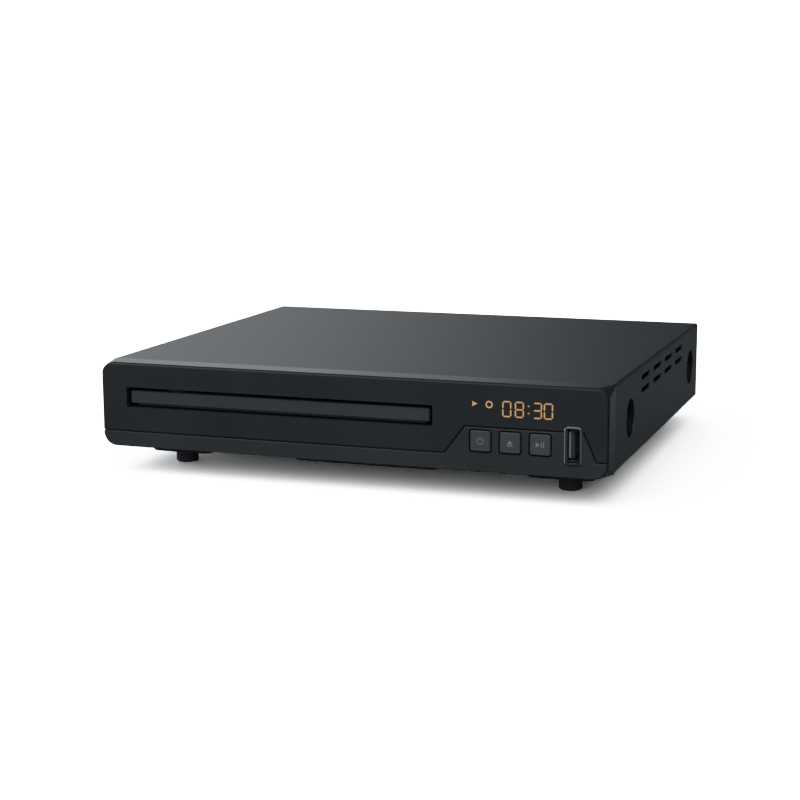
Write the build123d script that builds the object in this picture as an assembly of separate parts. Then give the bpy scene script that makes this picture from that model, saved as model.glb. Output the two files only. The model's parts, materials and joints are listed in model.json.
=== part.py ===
from build123d import *
import math
import os

# Sizes are in millimetres. X runs to the right as seen from the front, Y runs back from the
# face of the front panel, and Z runs up from the surface that the feet stand on.

# Case
case_width = 225.0
case_depth = 198.2
case_top = 49.3
face_height = 37.1
side_gap = 0.2              # clearance between pieces of the case that lie side by side

# Front panel, a moulded shell whose corners run from round at the face to sharp at the cover
panel_depth = 12.5
panel_wall = 2.0
face_corner = 5.0
face_foot_corner = 6.4      # the two lower corners
seam_corner = 0.8
lip_length = 3.5            # tongue that reaches back under the cover
lip_wall = 1.4
lip_rise = 8.0              # height of the tongue's lower ends above the face's lower edge

# The two plates of the face, parted by a groove
plate_thickness = 2.0
plate_reveal = 0.4
plate_edge = 0.35
groove_width = 0.4
groove_low = 7.2
groove_high = 18.9
groove_climb = 68.2         # the groove's four corners, from the right side of the case
groove_crest = 59.5
groove_brow = 9.9
groove_foot = 4.7

# Tray slot and door
slot_margin = 12.125        # from the left side of the case
slot_width = 139.75
slot_rise = 17.9
slot_height = 8.8
slot_corner = 0.6
door_gap = 1.65
door_recess = 1.2
door_thickness = 2.4
door_edge = 0.3

# Push buttons
button_count = 3
button_inset = 52.7         # from the right side of the case to the first button
button_pitch = 12.5
button_rise = 13.15
button_size = 8.45
button_corner = 0.8
button_gap = 0.65
button_proud = 0.3
button_travel = 0.6
button_flange = 1.4         # how far the flange reaches past the cap on each side
flange_thickness = 1.2
flange_gap = 0.3
stem_radius = 1.6
stem_reach = 0.9            # how far the stem stands in its switch

# Upright port in the lower trim
port_inset = 14.2           # from the right side of the case
port_rise = 13.7
bezel_width = 8.2
bezel_height = 16.5
bezel_corner = 1.6
bezel_proud = 0.6
bezel_rim = 0.5
bezel_wall = 0.7
shell_width = 5.7
shell_height = 13.1
shell_wall = 0.35
shell_corner = 0.8
shell_set_back = 0.8
tongue_thickness = 1.8
tongue_margin = 0.7         # between the tongue's ends and the shell
tongue_offset = 0.6         # between the tongue's side and the shell
tongue_set_back = 1.2
contact_rows = 4
contact_width = 1.0
contact_depth = 0.15

# Display window in the panel's front wall
window_left = 58.5          # the window's ends, from the right side of the case
window_right = 8.0
window_rise = 22.3
window_height = 10.6

# Front board behind the panel
front_board_y = 13.0
front_board_thickness = 1.6
front_board_width = 62.5
front_board_side = 4.0      # from the board's right end to the outside of the case
front_board_rise = 4.0
front_board_drop = 4.5      # from the board's upper edge to the top of the case
board_post_radius = 2.4
board_post_inset = 3.2
display_left = 57.9         # the display's ends, from the right side of the case
display_right = 19.5
display_depth = 8.2
display_clearance = 0.5
switch_size = 6.2
switch_depth = 3.9
switch_bore_clearance = 0.2
stem_clearance = 0.9        # below the stem when the button is pressed home
eye_inset = 13.1            # from the right side of the case
eye_width = 6.0
eye_height = 7.0
eye_depth = 3.2
eye_radius = 2.3

# Cover, one folded sheet
cover_sheet = 0.8
cover_rise = 1.2            # lower edge above the face's lower edge
cover_bend = 1.2
vent_rows = 2
vent_length = 17.5
vent_height = 2.2
vent_start = 63.0
vent_pitch = 25.5
vent_end_gap = 21.0         # at least this from the last vent to the rear recess
vent_rise = 26.0
vent_row_pitch = 5.5
dimple_front = 41.2
dimple_back = 19.2          # from the rear of the case
dimple_rise = 18.2
dimple_radius = 8.3
dimple_floor = 6.9
dimple_depth = 3.6
dimple_hole = 1.6

# Base, a drawn sheet pan with pressed pads
base_sheet = 0.8
pan_side = 9.5              # from the outside of the case to the mouth of the pan
pan_front = 19.0
pan_rear = 10.0
pan_depth = 4.2
pan_draft = 1.6
pan_corner = 7.0
rim_rise = 0.3              # underside of the rim above the face's lower edge
edge_lip = 3.0
ear_width = 15.0
ear_over = 5.5              # ear above its screw
ear_hole = 1.4
pad_side = 25.5             # from the side of the case
pad_width = 31.0
pad_length = 24.0
pad_depth = 2.2
pad_draft = 1.2
pad_corner = 3.5
middle_pad_width = 68.0
middle_pad_length = 34.0
middle_pad_y = 40.5
floor_slots = 6
floor_slot_length = 26.0
floor_slot_width = 3.0
floor_slot_pitch = 7.0
floor_slot_inset = 52.5     # from the right side of the case
floor_slot_y = 65.0

# Feet
foot_side = 23.5            # from the side of the case
foot_inset = 34.5           # from the front and from the rear of the case
foot_radius = 5.0
foot_toe = 4.4
foot_bevel = 0.8
foot_ribs = 4
rib_groove = 0.3
peg_radius = 1.9
peg_clearance = 0.1
barb_radius = 2.6
barb_height = 1.6
foot_seat = 0.05            # between the pad and the barb

# Rear panel and its sockets
rear_sheet = 0.8
rear_flange = 8.0
rear_vents = 9
rear_vent_inset = 16.5      # from the left side of the case
rear_vent_pitch = 6.0
rear_vent_width = 2.2
rear_vent_length = 16.0
rear_vent_rise = 17.0
socket_inset = 37.5         # from the right side of the case
socket_rise = 18.3
socket_pitch = 14.0
socket_body = 13.6
socket_depth = 11.0
barrel_radius = 4.15
barrel_bore = 3.45
barrel_reach = 8.0
barrel_collar = 5.3
collar_thickness = 1.0
insert_recess = 1.0
insert_bore = 1.6
socket_clearance = 0.25
hdmi_inset = 60.0           # from the right side of the case
hdmi_width = 15.0
hdmi_height = 5.7
hdmi_chamfer = 1.5
hdmi_depth = 11.5
hdmi_proud = 0.6
hdmi_cavity = 8.0
hdmi_wall = 0.45
hdmi_tongue_width = 11.0
hdmi_tongue_thickness = 1.2
hdmi_tongue_set_back = 2.0
inlet_inset = 14.0          # from the right side of the case
inlet_rise = 18.3
inlet_width = 14.0
inlet_height = 21.0
inlet_depth = 15.0
inlet_flange = 1.4
inlet_flange_over = 1.6
inlet_lobe = 4.1
inlet_waist = 5.6
inlet_cavity = 11.0
pin_spacing = 8.6
pin_radius = 1.2
pin_length = 8.0

# Boards on standoffs above the pan's floor
board_rise = 6.0
board_thickness = 1.6
board_gap = 5.5             # from the loader to the boards
board_side = 10.5           # from the outside of the case to the boards
power_board_front = 22.0
power_board_rear = 104.0
main_board_front = 110.0
main_board_side = 23.5      # from the right side of the case
board_back_gap = 0.8
standoff_radius = 2.4
standoff_inset = 4.5
power_standoff_y = 54.0     # right front standoff, which stands behind the pad
main_standoff_step = 18.0   # between the two rear standoffs, beside the pad
main_standoff_back = 19.0
chip_size = 22.0
chip_thickness = 1.8
chip_inset = 44.5           # from the right side of the case
sink_size = 26.0
sink_base = 1.6
sink_height = 9.0
sink_fins = 7
sink_fin = 1.0
core_width = 24.0
core_length = 21.0
core_height = 17.0
core_inset = 32.5           # from the right side of the case
core_y = 82.0
core_limb = 5.0
bobbin_margin = 2.5
can_radius = 7.0
can_height = 22.0
can_inset = 46.5            # from the right side of the case
can_y = 48.0
small_can_radius = 4.0
small_can_height = 12.0
small_can_inset = 54.5      # from the right side of the case
small_can_y = 68.0
small_can_pitch = 11.0
small_cans = 3
can_bead = 0.5
can_foot = 1.5              # below the bead
ribbon_inset = 63.5         # from the right side of the case
ribbon_width = 10.0
ribbon_sheet = 0.3
ribbon_rise = 9.0           # above the boards
connector_width = 5.0
connector_depth = 4.0
connector_over = 2.0

# Disc tray
tray_inset = 2.2            # from the door's end to the tray's side
tray_front_rim = 6.0
pocket_radius = 60.4
small_pocket_radius = 40.4
small_pocket_depth = 0.5
tail_angle = 45.0           # where the sunk tail starts, round the pocket
slot_clearance = 0.55
skirt_height = 2.2
skirt_width = 2.4
tray_floor = 1.2
rim_height = 3.2
tail_drop = 1.6
window_half = 19.0          # half width of the tray's long window
thumb_radius = 11.0
rack_hold = 9.5             # rack left behind the pinion when the tray is out

# Loader frame
frame_front = 16.5
frame_wall = 2.2
frame_gap = 0.4
frame_over = 6.0            # frame behind the closed tray
frame_back = 19.4           # from the frame to the rear panel
deck_drop = 8.6             # from the tray's underside to the deck
deck_thickness = 2.0
deck_front = 37.0
deck_back = 16.0            # from the opening of the deck to the frame's rear
deck_left = 37.0            # opening of the deck from the tray's middle line
deck_right = 49.5
ledge_width = 2.6
ledge_height = 1.8
ledge_gap = 0.25
hook_width = 2.2
hook_height = 1.3
hook_gap = 0.3
hook_length = 9.0
hook_front = 20.0
hook_middle = 98.0
hook_tail = 14.0            # from the last hook's front to the tray's rear
leg_radius = 4.0
leg_bore = 1.5
leg_x = 60.0
leg_front_y = 62.0
leg_back = 8.0              # from the rear legs to the frame's rear
leg_rear_left = 30.0
rib_count = 5
rib_depth = 3.0
rib_thickness = 1.4

# Gear train of the tray
pressure_angle = 20.0
tip_share = 0.9
root_share = 1.25
tooth_thinning = 0.14
rack_module = 1.0
rack_inset = 9.0            # from the tray's side to the pitch line of its rack
rack_back = 2.4
tray_pinion_teeth = 18
drive_module = 0.8
tray_gear_teeth = 40
pulley_pinion_teeth = 12
tray_gear_y = 32.5
drive_angle = -15.0
gear_rest = 0.4             # from the deck to the lowest gear
gear_face = 2.2
pinion_top_gap = 0.6
shaft_radius = 1.5
shaft_clearance = 0.08
pulley_radius = 8.2
pulley_rim = 9.9
pulley_height = 4.0
pulley_rest = 0.25
belt_thickness = 1.2
belt_gap = 0.1
motor_pulley_radius = 2.6
motor_pulley_rim = 3.9
motor_x = 49.5
motor_radius = 10.2
motor_height = 9.5
motor_flange = 0.8
motor_flange_over = 2.6
motor_boss = 2.6
motor_boss_height = 1.0
motor_shaft_radius = 1.0
motor_shaft_depth = 3.0

# Cam slider that raises the traverse
cam_gap = 1.3               # behind the pulley
cam_thickness = 3.0
cam_left = 30.0
cam_right = 30.0
cam_travel = 12.0
cam_drop = 7.6
cam_margin = 3.2
cam_pin_radius = 1.5
cam_slot_clearance = 0.28
cam_pin_left = 12.0
cam_pin_right = 22.0
cam_shelf_left = 12.0
cam_shelf_right = 15.0
cam_shelf_depth = 8.0
cam_shelf_thickness = 1.6
cam_shelf_gap = 0.3
cam_stud_x = 6.0

# Traverse
traverse_left = 34.0
traverse_right = 46.0
traverse_gap = 3.0          # behind the cam
traverse_thickness = 2.5
traverse_drop = 9.6         # from the turntable's top to the traverse's top
traverse_tail = 4.0         # behind the pivot
traverse_corner = 4.0
pivot_back = 22.0           # from the pivot to the loader frame's rear
pivot_radius = 2.0
pivot_length = 6.0
pivot_block_wall = 2.2
pivot_block_gap = 0.4
sled_window_half = 21.5
sled_window_lead = 1.7      # in front of the sled at its inner end
sled_window_back = 6.5      # in front of the pivot
rod_x = 25.0
rod_radius = 1.5
rod_height = 2.5            # above the traverse
rod_lead = 4.5              # in front of the window
rod_back = 2.0              # in front of the pivot
holder_width = 6.4
holder_length = 4.0
holder_over = 1.0

# Spindle and clamp
disc_lift = 1.2
spindle_base_radius = 7.8
spindle_base_depth = 4.8
spindle_radius = 12.0
spindle_height = 5.0
spindle_edge = 0.6
spindle_bore_clearance = 0.06
turntable_radius = 15.0
turntable_thickness = 3.2
turntable_edge = 0.4
pad_ring = 3.0
pad_ring_thickness = 0.5
hub_radius = 7.4
hub_height = 2.4
hub_cone = 1.4
hub_nose = 5.4
spindle_shaft_radius = 1.2
spindle_shaft_depth = 8.0
clamp_gap = 0.5             # between the clamper and the turntable
clamper_radius = 12.6
clamper_bore = 8.4
clamper_bore_over = 1.4     # above the hub
clamper_flange_radius = 16.4
clamper_flange = 1.4
clamper_rest = 0.3
magnet_radius = 8.0
magnet_thickness = 2.2
bridge_rise = 3.0           # above the tray's rim
bridge_sheet = 1.2
bridge_width = 22.0
bridge_ring = 22.0
bridge_hole_gap = 0.8
bridge_rib = 2.2

# Pickup and its feed
lens_start = 24.0           # from the spindle to the lens at the inner end
sled_stop = 2.3             # from the sled to the window at its outer end
sled_half = 19.0
sled_front = 7.8            # in front of the lens
sled_length = 28.0
sled_depth = 3.0            # below the traverse's top
sled_height = 4.6           # above the traverse's top
sled_corner = 3.0
arm_length = 20.0
arm_margin = 2.4
arm_thickness = 1.5
arm_gap = 0.3
rod_clearance = 0.06
lens_width = 15.0
lens_length = 12.0
lens_body = 1.9
lens_travel = 0.4
lens_clearance = 0.2        # below the lens at its lowest
lens_radius = 2.7
lens_rise = 0.6
feed_module = 0.6
feed_gear_teeth = 24
feed_pinion_teeth = 12
sled_pinion_teeth = 10
feed_rack_x = 32.0
feed_rack_back = 1.9
feed_gear_back = 28.5       # in front of the rear end of the sled's window
feed_overrun = 5.0          # rack past the pinion at either end
feed_thinning = 0.12
feed_rest = 0.4
feed_face = 1.2
feed_rack_gap = 0.3
feed_rack_height = 3.6
feed_pin_radius = 1.1
sled_motor_radius = 6.2
sled_motor_height = 6.0
sled_motor_edge = 0.6
sled_shaft_radius = 0.75
sled_shaft_depth = 3.0

# Directions of a gear's first tooth, in degrees
facing_left = 180
facing_front = 270
facing_rear = 90

# Levels and places that follow from the sizes
right_side = case_width / 2
left_side = -case_width / 2
face_low = case_top - face_height
face_middle = case_top - face_height / 2
cover_low = face_low + cover_rise
cover_inner = case_width / 2 - cover_sheet
ceiling = case_top - cover_sheet
rim_low = face_low + rim_rise
rim_top = rim_low + base_sheet
floor_low = rim_low - pan_depth
floor_top = floor_low + base_sheet
pad_low = floor_low - pad_depth
face_y = (bezel_proud - case_depth - barrel_reach) / 2
rear_inside = case_depth - rear_sheet

slot_x = left_side + slot_margin + slot_width / 2
port_x = right_side - port_inset
eye_x = right_side - eye_inset
front_board_right = right_side - front_board_side
front_board_left = front_board_right - front_board_width
switch_bore_depth = stem_reach + button_travel + stem_clearance
dimple_rear = case_depth - dimple_back
vent_room = dimple_rear - vent_end_gap - vent_start - vent_length
vent_columns = 1 + math.floor(vent_room / vent_pitch)
pad_x = right_side - pad_side
foot_x = right_side - foot_side
floor_slot_x = right_side - floor_slot_inset
rear_vent_x = left_side + rear_vent_inset
socket_x = right_side - socket_inset
hdmi_x = right_side - hdmi_inset
inlet_x = right_side - inlet_inset

slot_low = face_low + slot_rise
slot_top = slot_low + slot_height
door_low = slot_low + door_gap
door_top = slot_top - door_gap
door_half = slot_width / 2 - door_gap
tray_y = door_recess + door_thickness
tray_half = door_half - tray_inset
tray_low = slot_low + slot_clearance
tray_underside = tray_low + skirt_height
disc_seat = tray_underside + tray_floor
tray_top = disc_seat + rim_height
disc_y = tray_y + tray_front_rim + pocket_radius
frame_rear = rear_inside - frame_back
tray_rear = frame_rear - frame_over
tray_travel = tray_rear - tray_gear_y - rack_hold

frame_inner = tray_half + frame_gap
frame_outer = frame_inner + frame_wall
deck_top = tray_low - deck_drop
deck_low = deck_top - deck_thickness
deck_rear = frame_rear - deck_back
hook_rear = tray_rear - hook_tail
leg_rear_y = frame_rear - leg_back
bridge_low = tray_top + bridge_rise
bridge_top = bridge_low + bridge_sheet

board_low = floor_top + board_rise
board_top = board_low + board_thickness
board_left = slot_x + frame_outer + board_gap
board_right = right_side - board_side
main_board_right = right_side - main_board_side
chip_x = right_side - chip_inset
chip_y = (main_board_front + rear_inside - socket_depth) / 2
core_x = right_side - core_inset
can_x = right_side - can_inset
small_can_x = right_side - small_can_inset
ribbon_x = right_side - ribbon_inset

rack_line = slot_x - tray_half + rack_inset
tray_pinion_radius = rack_module * tray_pinion_teeth / 2
tray_gear_radius = drive_module * tray_gear_teeth / 2
pulley_pinion_radius = drive_module * pulley_pinion_teeth / 2
tray_gear_x = rack_line + tray_pinion_radius
drive_distance = tray_gear_radius + pulley_pinion_radius
pulley_x = tray_gear_x + drive_distance * math.cos(math.radians(drive_angle))
pulley_y = tray_gear_y + drive_distance * math.sin(math.radians(drive_angle))
gear_low = deck_top + gear_rest
gear_top = gear_low + gear_face
tray_pinion_top = tray_underside - pinion_top_gap
pulley_low = gear_top + pulley_rest
pulley_top = pulley_low + pulley_height
belt_level = (pulley_low + pulley_top) / 2
motor_centre = slot_x + motor_x

turntable_top = disc_seat + disc_lift
traverse_top = turntable_top - traverse_drop
traverse_low = traverse_top - traverse_thickness
pivot_y = frame_rear - pivot_back
pivot_level = (traverse_low + traverse_top) / 2
cam_front = pulley_y + pulley_rim + cam_gap
cam_back = cam_front + cam_thickness
cam_middle = (cam_front + cam_back) / 2
traverse_front = cam_back + traverse_gap
traverse_back = pivot_y + traverse_tail
rod_level = traverse_top + rod_height
sled_low = traverse_top - sled_depth
sled_top = traverse_top + sled_height
lens_y = disc_y + lens_start
lens_gap = lens_travel + lens_clearance
sled_window_front = lens_y - sled_front - sled_window_lead
sled_window_rear = pivot_y - sled_window_back
sled_travel = sled_window_rear - sled_stop - (lens_y - sled_front + sled_length)
rod_front = sled_window_front - rod_lead
rod_rear = pivot_y - rod_back
feed_pinion_radius = feed_module * feed_pinion_teeth / 2
feed_gear_radius = feed_module * feed_gear_teeth / 2
sled_pinion_radius = feed_module * sled_pinion_teeth / 2
feed_gear_x = slot_x + feed_rack_x + feed_pinion_radius
feed_gear_y = sled_window_rear - feed_gear_back
sled_pinion_y = feed_gear_y - feed_gear_radius - sled_pinion_radius
feed_low = traverse_top + feed_rest
feed_top = feed_low + feed_face
feed_rack_low = feed_top + feed_rack_gap
feed_rack_top = feed_rack_low + feed_rack_height
turntable_low = turntable_top - pad_ring_thickness - turntable_thickness
clamper_low = turntable_top + clamp_gap
clamper_rim = bridge_top + clamper_rest
clamper_top = clamper_rim + clamper_flange

sides = (-1, 1)


def block(x0, x1, y0, y1, z0, z1):
    """A box between two corners."""
    return Pos((x0 + x1) / 2, (y0 + y1) / 2, (z0 + z1) / 2) * Box(x1 - x0, y1 - y0, z1 - z0)


def post(x, y, radius, z0, z1):
    """An upright cylinder."""
    return Pos(x, y, (z0 + z1) / 2) * Cylinder(radius, z1 - z0)


def bar_y(x, z, radius, y0, y1):
    """A cylinder that runs front to back."""
    return Pos(x, (y0 + y1) / 2, z) * Rot(90, 0, 0) * Cylinder(radius, y1 - y0)


def bar_x(y, z, radius, x0, x1):
    """A cylinder that runs left to right."""
    return Pos((x0 + x1) / 2, y, z) * Rot(0, 90, 0) * Cylinder(radius, x1 - x0)


def slab(outline, y0, y1):
    """An outline in X and Z, drawn out from one depth to another."""
    return extrude(Pos(0, y0, 0) * (Plane.XZ * outline), amount=y1 - y0, dir=(0, 1, 0))


def raised(outline, z0, z1):
    """An outline in X and Y, drawn up from one level to another."""
    return extrude(Pos(0, 0, z0) * outline, amount=z1 - z0)


def turned(points, x, y):
    """A profile of radius and level turned about an upright axis."""
    profile = Plane.XZ * Polygon(*points, align=None)
    return Pos(x, y, 0) * revolve(profile, Axis.Z)


def turned_back(points, x, z):
    """A profile of radius and depth turned about an axis that runs front to back."""
    profile = Polygon(*points, align=None)
    return Pos(x, 0, z) * revolve(profile, Axis.Y)


def window(x, z, width, height, corner):
    """A rounded rectangle in X and Z."""
    return Pos(x, z) * RectangleRounded(width, height, corner)


def polar(radius, angle):
    return (radius * math.cos(angle), radius * math.sin(angle))


def gear_outline(teeth, module, thinning, phase):
    """Involute teeth, with one tooth centred on the phase angle."""
    pressure = math.radians(pressure_angle)
    pitch = module * teeth / 2
    base = pitch * math.cos(pressure)
    tip = pitch + tip_share * module
    root = pitch - root_share * module
    flank = max(base, root)
    half_tooth = math.pi / (2 * teeth) - thinning / (2 * pitch)

    def half_angle(radius):
        roll = math.acos(min(1, base / radius))
        return half_tooth + math.tan(pressure) - pressure - math.tan(roll) + roll

    edges = []
    for tooth in range(teeth):
        centre = math.radians(phase) + 2 * math.pi * tooth / teeth
        following = centre + 2 * math.pi / teeth
        radii = (flank, (flank + tip) / 2, tip)
        rise = [polar(r, centre - half_angle(r)) for r in radii]
        fall = [polar(r, centre + half_angle(r)) for r in reversed(radii)]
        foot = polar(root, centre - half_angle(flank))
        heel = polar(root, centre + half_angle(flank))
        if flank > root:
            edges.append(Line(foot, rise[0]))
            edges.append(Line(fall[2], heel))
        edges.append(ThreePointArc(*rise))
        edges.append(Line(rise[2], fall[0]))
        edges.append(ThreePointArc(*fall))
        edges.append(Line(heel, polar(root, following - half_angle(flank))))
    return make_face(edges)


def gear(x, y, teeth, module, thinning, phase, z0, z1):
    return raised(Pos(x, y) * gear_outline(teeth, module, thinning, phase), z0, z1)


def rack_outline(line, gap_y, module, thinning, back, y0, y1):
    """Straight teeth that point to +X, with a gap centred at gap_y."""
    pitch = math.pi * module
    slope = math.tan(math.radians(pressure_angle))
    tip = line + tip_share * module
    root = line - root_share * module
    tip_half = pitch / 4 - thinning / 2 - tip_share * module * slope
    root_half = pitch / 4 - thinning / 2 + root_share * module * slope
    first = math.ceil((y0 + pitch / 2 - gap_y) / pitch - 0.5)
    last = math.floor((y1 - pitch / 2 - gap_y) / pitch - 0.5)
    points = [(root - back, y0), (root, y0)]
    for tooth in range(first, last + 1):
        centre = gap_y + (tooth + 0.5) * pitch
        points.append((root, centre - root_half))
        points.append((tip, centre - tip_half))
        points.append((tip, centre + tip_half))
        points.append((root, centre + root_half))
    points += [(root, y1), (root - back, y1)]
    return Polygon(*points, align=None)


def loop_outline(left, right, y, left_radius, right_radius):
    """The line of a belt round two pulleys that stand side by side."""
    lean = math.acos((left_radius - right_radius) / (right - left))
    left_x = left + left_radius * math.cos(lean)
    left_rise = left_radius * math.sin(lean)
    right_x = right + right_radius * math.cos(lean)
    right_rise = right_radius * math.sin(lean)
    return make_face([
        Line((left_x, y + left_rise), (right_x, y + right_rise)),
        ThreePointArc((right_x, y + right_rise), (right + right_radius, y), (right_x, y - right_rise)),
        Line((right_x, y - right_rise), (left_x, y - left_rise)),
        ThreePointArc((left_x, y - left_rise), (left - left_radius, y), (left_x, y + left_rise)),
    ])


def button_place(number):
    return right_side - button_inset + number * button_pitch


def button_level():
    return face_low + button_rise


def port_level():
    return face_low + port_rise


def face_outline(inset, top_corner, foot_corner):
    """The face's outline, drawn in from the edge of the case."""
    outline = Pos(0, face_middle) * Rectangle(case_width - 2 * inset, face_height - 2 * inset)
    outline = fillet(outline.vertices().group_by(Axis.Y)[-1], top_corner)
    return fillet(outline.vertices().group_by(Axis.Y)[0], foot_corner)


def plate_outline():
    """The outline that the fascia and the trim share, a reveal inside the panel's edge."""
    return face_outline(plate_reveal, face_corner - plate_reveal, face_foot_corner - plate_reveal)


def groove_region(shift):
    """The part of the face below the groove's middle line, moved out by a shift."""
    low = face_low + groove_low
    high = face_low + groove_high
    edge = right_side + case_width
    region = Polygon(
        (-edge, face_low - face_height), (edge, face_low - face_height), (edge, low),
        (right_side - groove_foot, low), (right_side - groove_brow, high),
        (right_side - groove_crest, high), (right_side - groove_climb, low), (-edge, low), align=None)
    return offset(region, amount=shift, kind=Kind.INTERSECTION)


def slot_opening():
    return window(slot_x, (slot_low + slot_top) / 2, slot_width, slot_height, slot_corner)


def button_openings():
    size = button_size + 2 * button_gap
    holes = Sketch()
    for number in range(button_count):
        holes += window(button_place(number), button_level(), size, size, button_corner + button_gap)
    return holes


def port_opening():
    """The hole that the bezel's neck fills."""
    width = bezel_width - 2 * bezel_rim
    height = bezel_height - 2 * bezel_rim
    return window(port_x, port_level(), width, height, bezel_corner - bezel_rim)


def softened(plate, size):
    """Breaks the edges of a plate's front face."""
    return chamfer(plate.faces().sort_by(Axis.Y)[0].outer_wire().edges(), size)


def make_front_panel():
    front = Pos(0, plate_thickness, 0) * (Plane.XZ * face_outline(0, face_corner, face_foot_corner))
    seam = Pos(0, panel_depth, 0) * (Plane.XZ * face_outline(0, seam_corner, seam_corner))
    panel = loft([front, seam], ruled=True)
    hollow = face_outline(panel_wall, face_corner - panel_wall, face_foot_corner - panel_wall)
    panel -= slab(hollow, plate_thickness + panel_wall, panel_depth)
    lip_inset = cover_sheet + side_gap
    lip = slab(face_outline(lip_inset, seam_corner, seam_corner),
               panel_depth - panel_wall, panel_depth + lip_length)
    lip -= slab(face_outline(lip_inset + lip_wall, seam_corner, seam_corner), 0, case_depth)
    lip -= block(-case_width, case_width, 0, case_depth, 0, face_low + lip_rise)
    panel += lip
    wall_back = plate_thickness + panel_wall
    for x in (front_board_left + board_post_inset, front_board_right - board_post_inset):
        for z in (face_low + front_board_rise + board_post_inset,
                  case_top - front_board_drop - board_post_inset):
            panel += bar_y(x, z, board_post_radius, wall_back, front_board_y)
    panel -= slab(slot_opening(), 0, wall_back)
    panel -= slab(button_openings(), 0, wall_back)
    panel -= slab(port_opening(), 0, wall_back)
    panel -= block(right_side - window_left, right_side - window_right, 0, wall_back,
                   face_low + window_rise, face_low + window_rise + window_height)
    return panel


def make_fascia_plate():
    outline = plate_outline() - groove_region(groove_width / 2)
    plate = softened(slab(outline, 0, plate_thickness), plate_edge)
    plate -= slab(slot_opening(), 0, plate_thickness)
    return plate - slab(port_opening(), 0, plate_thickness)


def make_lower_trim():
    outline = plate_outline() & groove_region(-groove_width / 2)
    plate = softened(slab(outline, 0, plate_thickness), plate_edge)
    plate -= slab(button_openings(), 0, plate_thickness)
    return plate - slab(port_opening(), 0, plate_thickness)


def make_button(number):
    """A cap with a flange behind the panel's wall and a stem that works the switch."""
    x = button_place(number)
    z = button_level()
    flange_front = plate_thickness + panel_wall + flange_gap
    flange_back = flange_front + flange_thickness
    flange_size = button_size + 2 * button_flange
    stem_end = front_board_y - switch_depth + stem_reach
    cap = slab(window(x, z, button_size, button_size, button_corner), -button_proud, flange_front)
    cap = softened(cap, door_edge)
    cap += slab(window(x, z, flange_size, flange_size, button_corner), flange_front, flange_back)
    return cap + bar_y(x, z, stem_radius, flange_back, stem_end)


def make_tray_door():
    outline = window(slot_x, (door_low + door_top) / 2, 2 * door_half, door_top - door_low, slot_corner)
    return softened(slab(outline, door_recess, tray_y), door_edge)


def make_usb_bezel():
    """A bright frame whose rim lies on the face and whose neck goes through it."""
    rim = window(port_x, port_level(), bezel_width, bezel_height, bezel_corner)
    inner_width = bezel_width - 2 * bezel_rim - 2 * bezel_wall
    inner_height = bezel_height - 2 * bezel_rim - 2 * bezel_wall
    ring = softened(slab(rim, -bezel_proud, 0), bezel_rim / 2)
    ring += slab(port_opening(), 0, plate_thickness)
    hole = window(port_x, port_level(), inner_width, inner_height, bezel_corner - bezel_rim)
    ring -= slab(hole, -bezel_proud, plate_thickness)
    mouth = ring.faces().sort_by(Axis.Y)[0].inner_wires()[0].edges()
    return chamfer(mouth, bezel_rim / 2)


def make_usb_shell():
    front = shell_set_back
    shell = slab(window(port_x, port_level(), shell_width, shell_height, shell_corner), front, front_board_y)
    inner = window(port_x, port_level(), shell_width - 2 * shell_wall, shell_height - 2 * shell_wall,
                   shell_corner - shell_wall)
    return shell - slab(inner, front, front_board_y - shell_wall)


def make_usb_tongue():
    """The insulator, with its contacts sunk in the side that faces the gap."""
    left = port_x - shell_width / 2 + shell_wall + tongue_offset
    half = shell_height / 2 - shell_wall - tongue_margin
    front = shell_set_back + tongue_set_back
    back = front_board_y - shell_wall
    z = port_level()
    tongue = block(left, left + tongue_thickness, front, back, z - half, z + half)
    pitch = 2 * half / contact_rows
    for row in range(contact_rows):
        level = z - half + (row + 0.5) * pitch
        right = left + tongue_thickness
        tongue -= block(right - contact_depth, right, front + contact_width, back,
                        level - contact_width / 2, level + contact_width / 2)
    return tongue


def make_front_board():
    low = face_low + front_board_rise
    high = case_top - front_board_drop
    back = front_board_y + front_board_thickness
    board = block(front_board_left, front_board_right, front_board_y, back, low, high)
    for x in (front_board_left + board_post_inset, front_board_right - board_post_inset):
        for z in (low + board_post_inset, high - board_post_inset):
            board -= bar_y(x, z, leg_bore, front_board_y, back)
    return board


def make_display_module():
    low = face_low + window_rise + display_clearance
    high = low + window_height - 2 * display_clearance
    return block(right_side - display_left, right_side - display_right,
                 front_board_y - display_depth, front_board_y, low, high)


def make_switches():
    front = front_board_y - switch_depth
    bodies = []
    for number in range(button_count):
        x = button_place(number)
        z = button_level()
        half = switch_size / 2
        body = block(x - half, x + half, front, front_board_y, z - half, z + half)
        body -= bar_y(x, z, stem_radius + switch_bore_clearance, front, front + switch_bore_depth)
        bodies.append(body)
    return Compound(children=bodies)


def make_infrared_eye():
    z = face_low + window_rise + window_height / 2
    front = front_board_y - eye_depth
    eye = block(eye_x - eye_width / 2, eye_x + eye_width / 2, front, front_board_y,
                z - eye_height / 2, z + eye_height / 2)
    dome = Pos(eye_x, front, z) * Sphere(eye_radius)
    return eye + (dome & block(eye_x - eye_width, eye_x + eye_width, 0, front, 0, case_top))


def dimple_level():
    return face_low + dimple_rise


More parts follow.
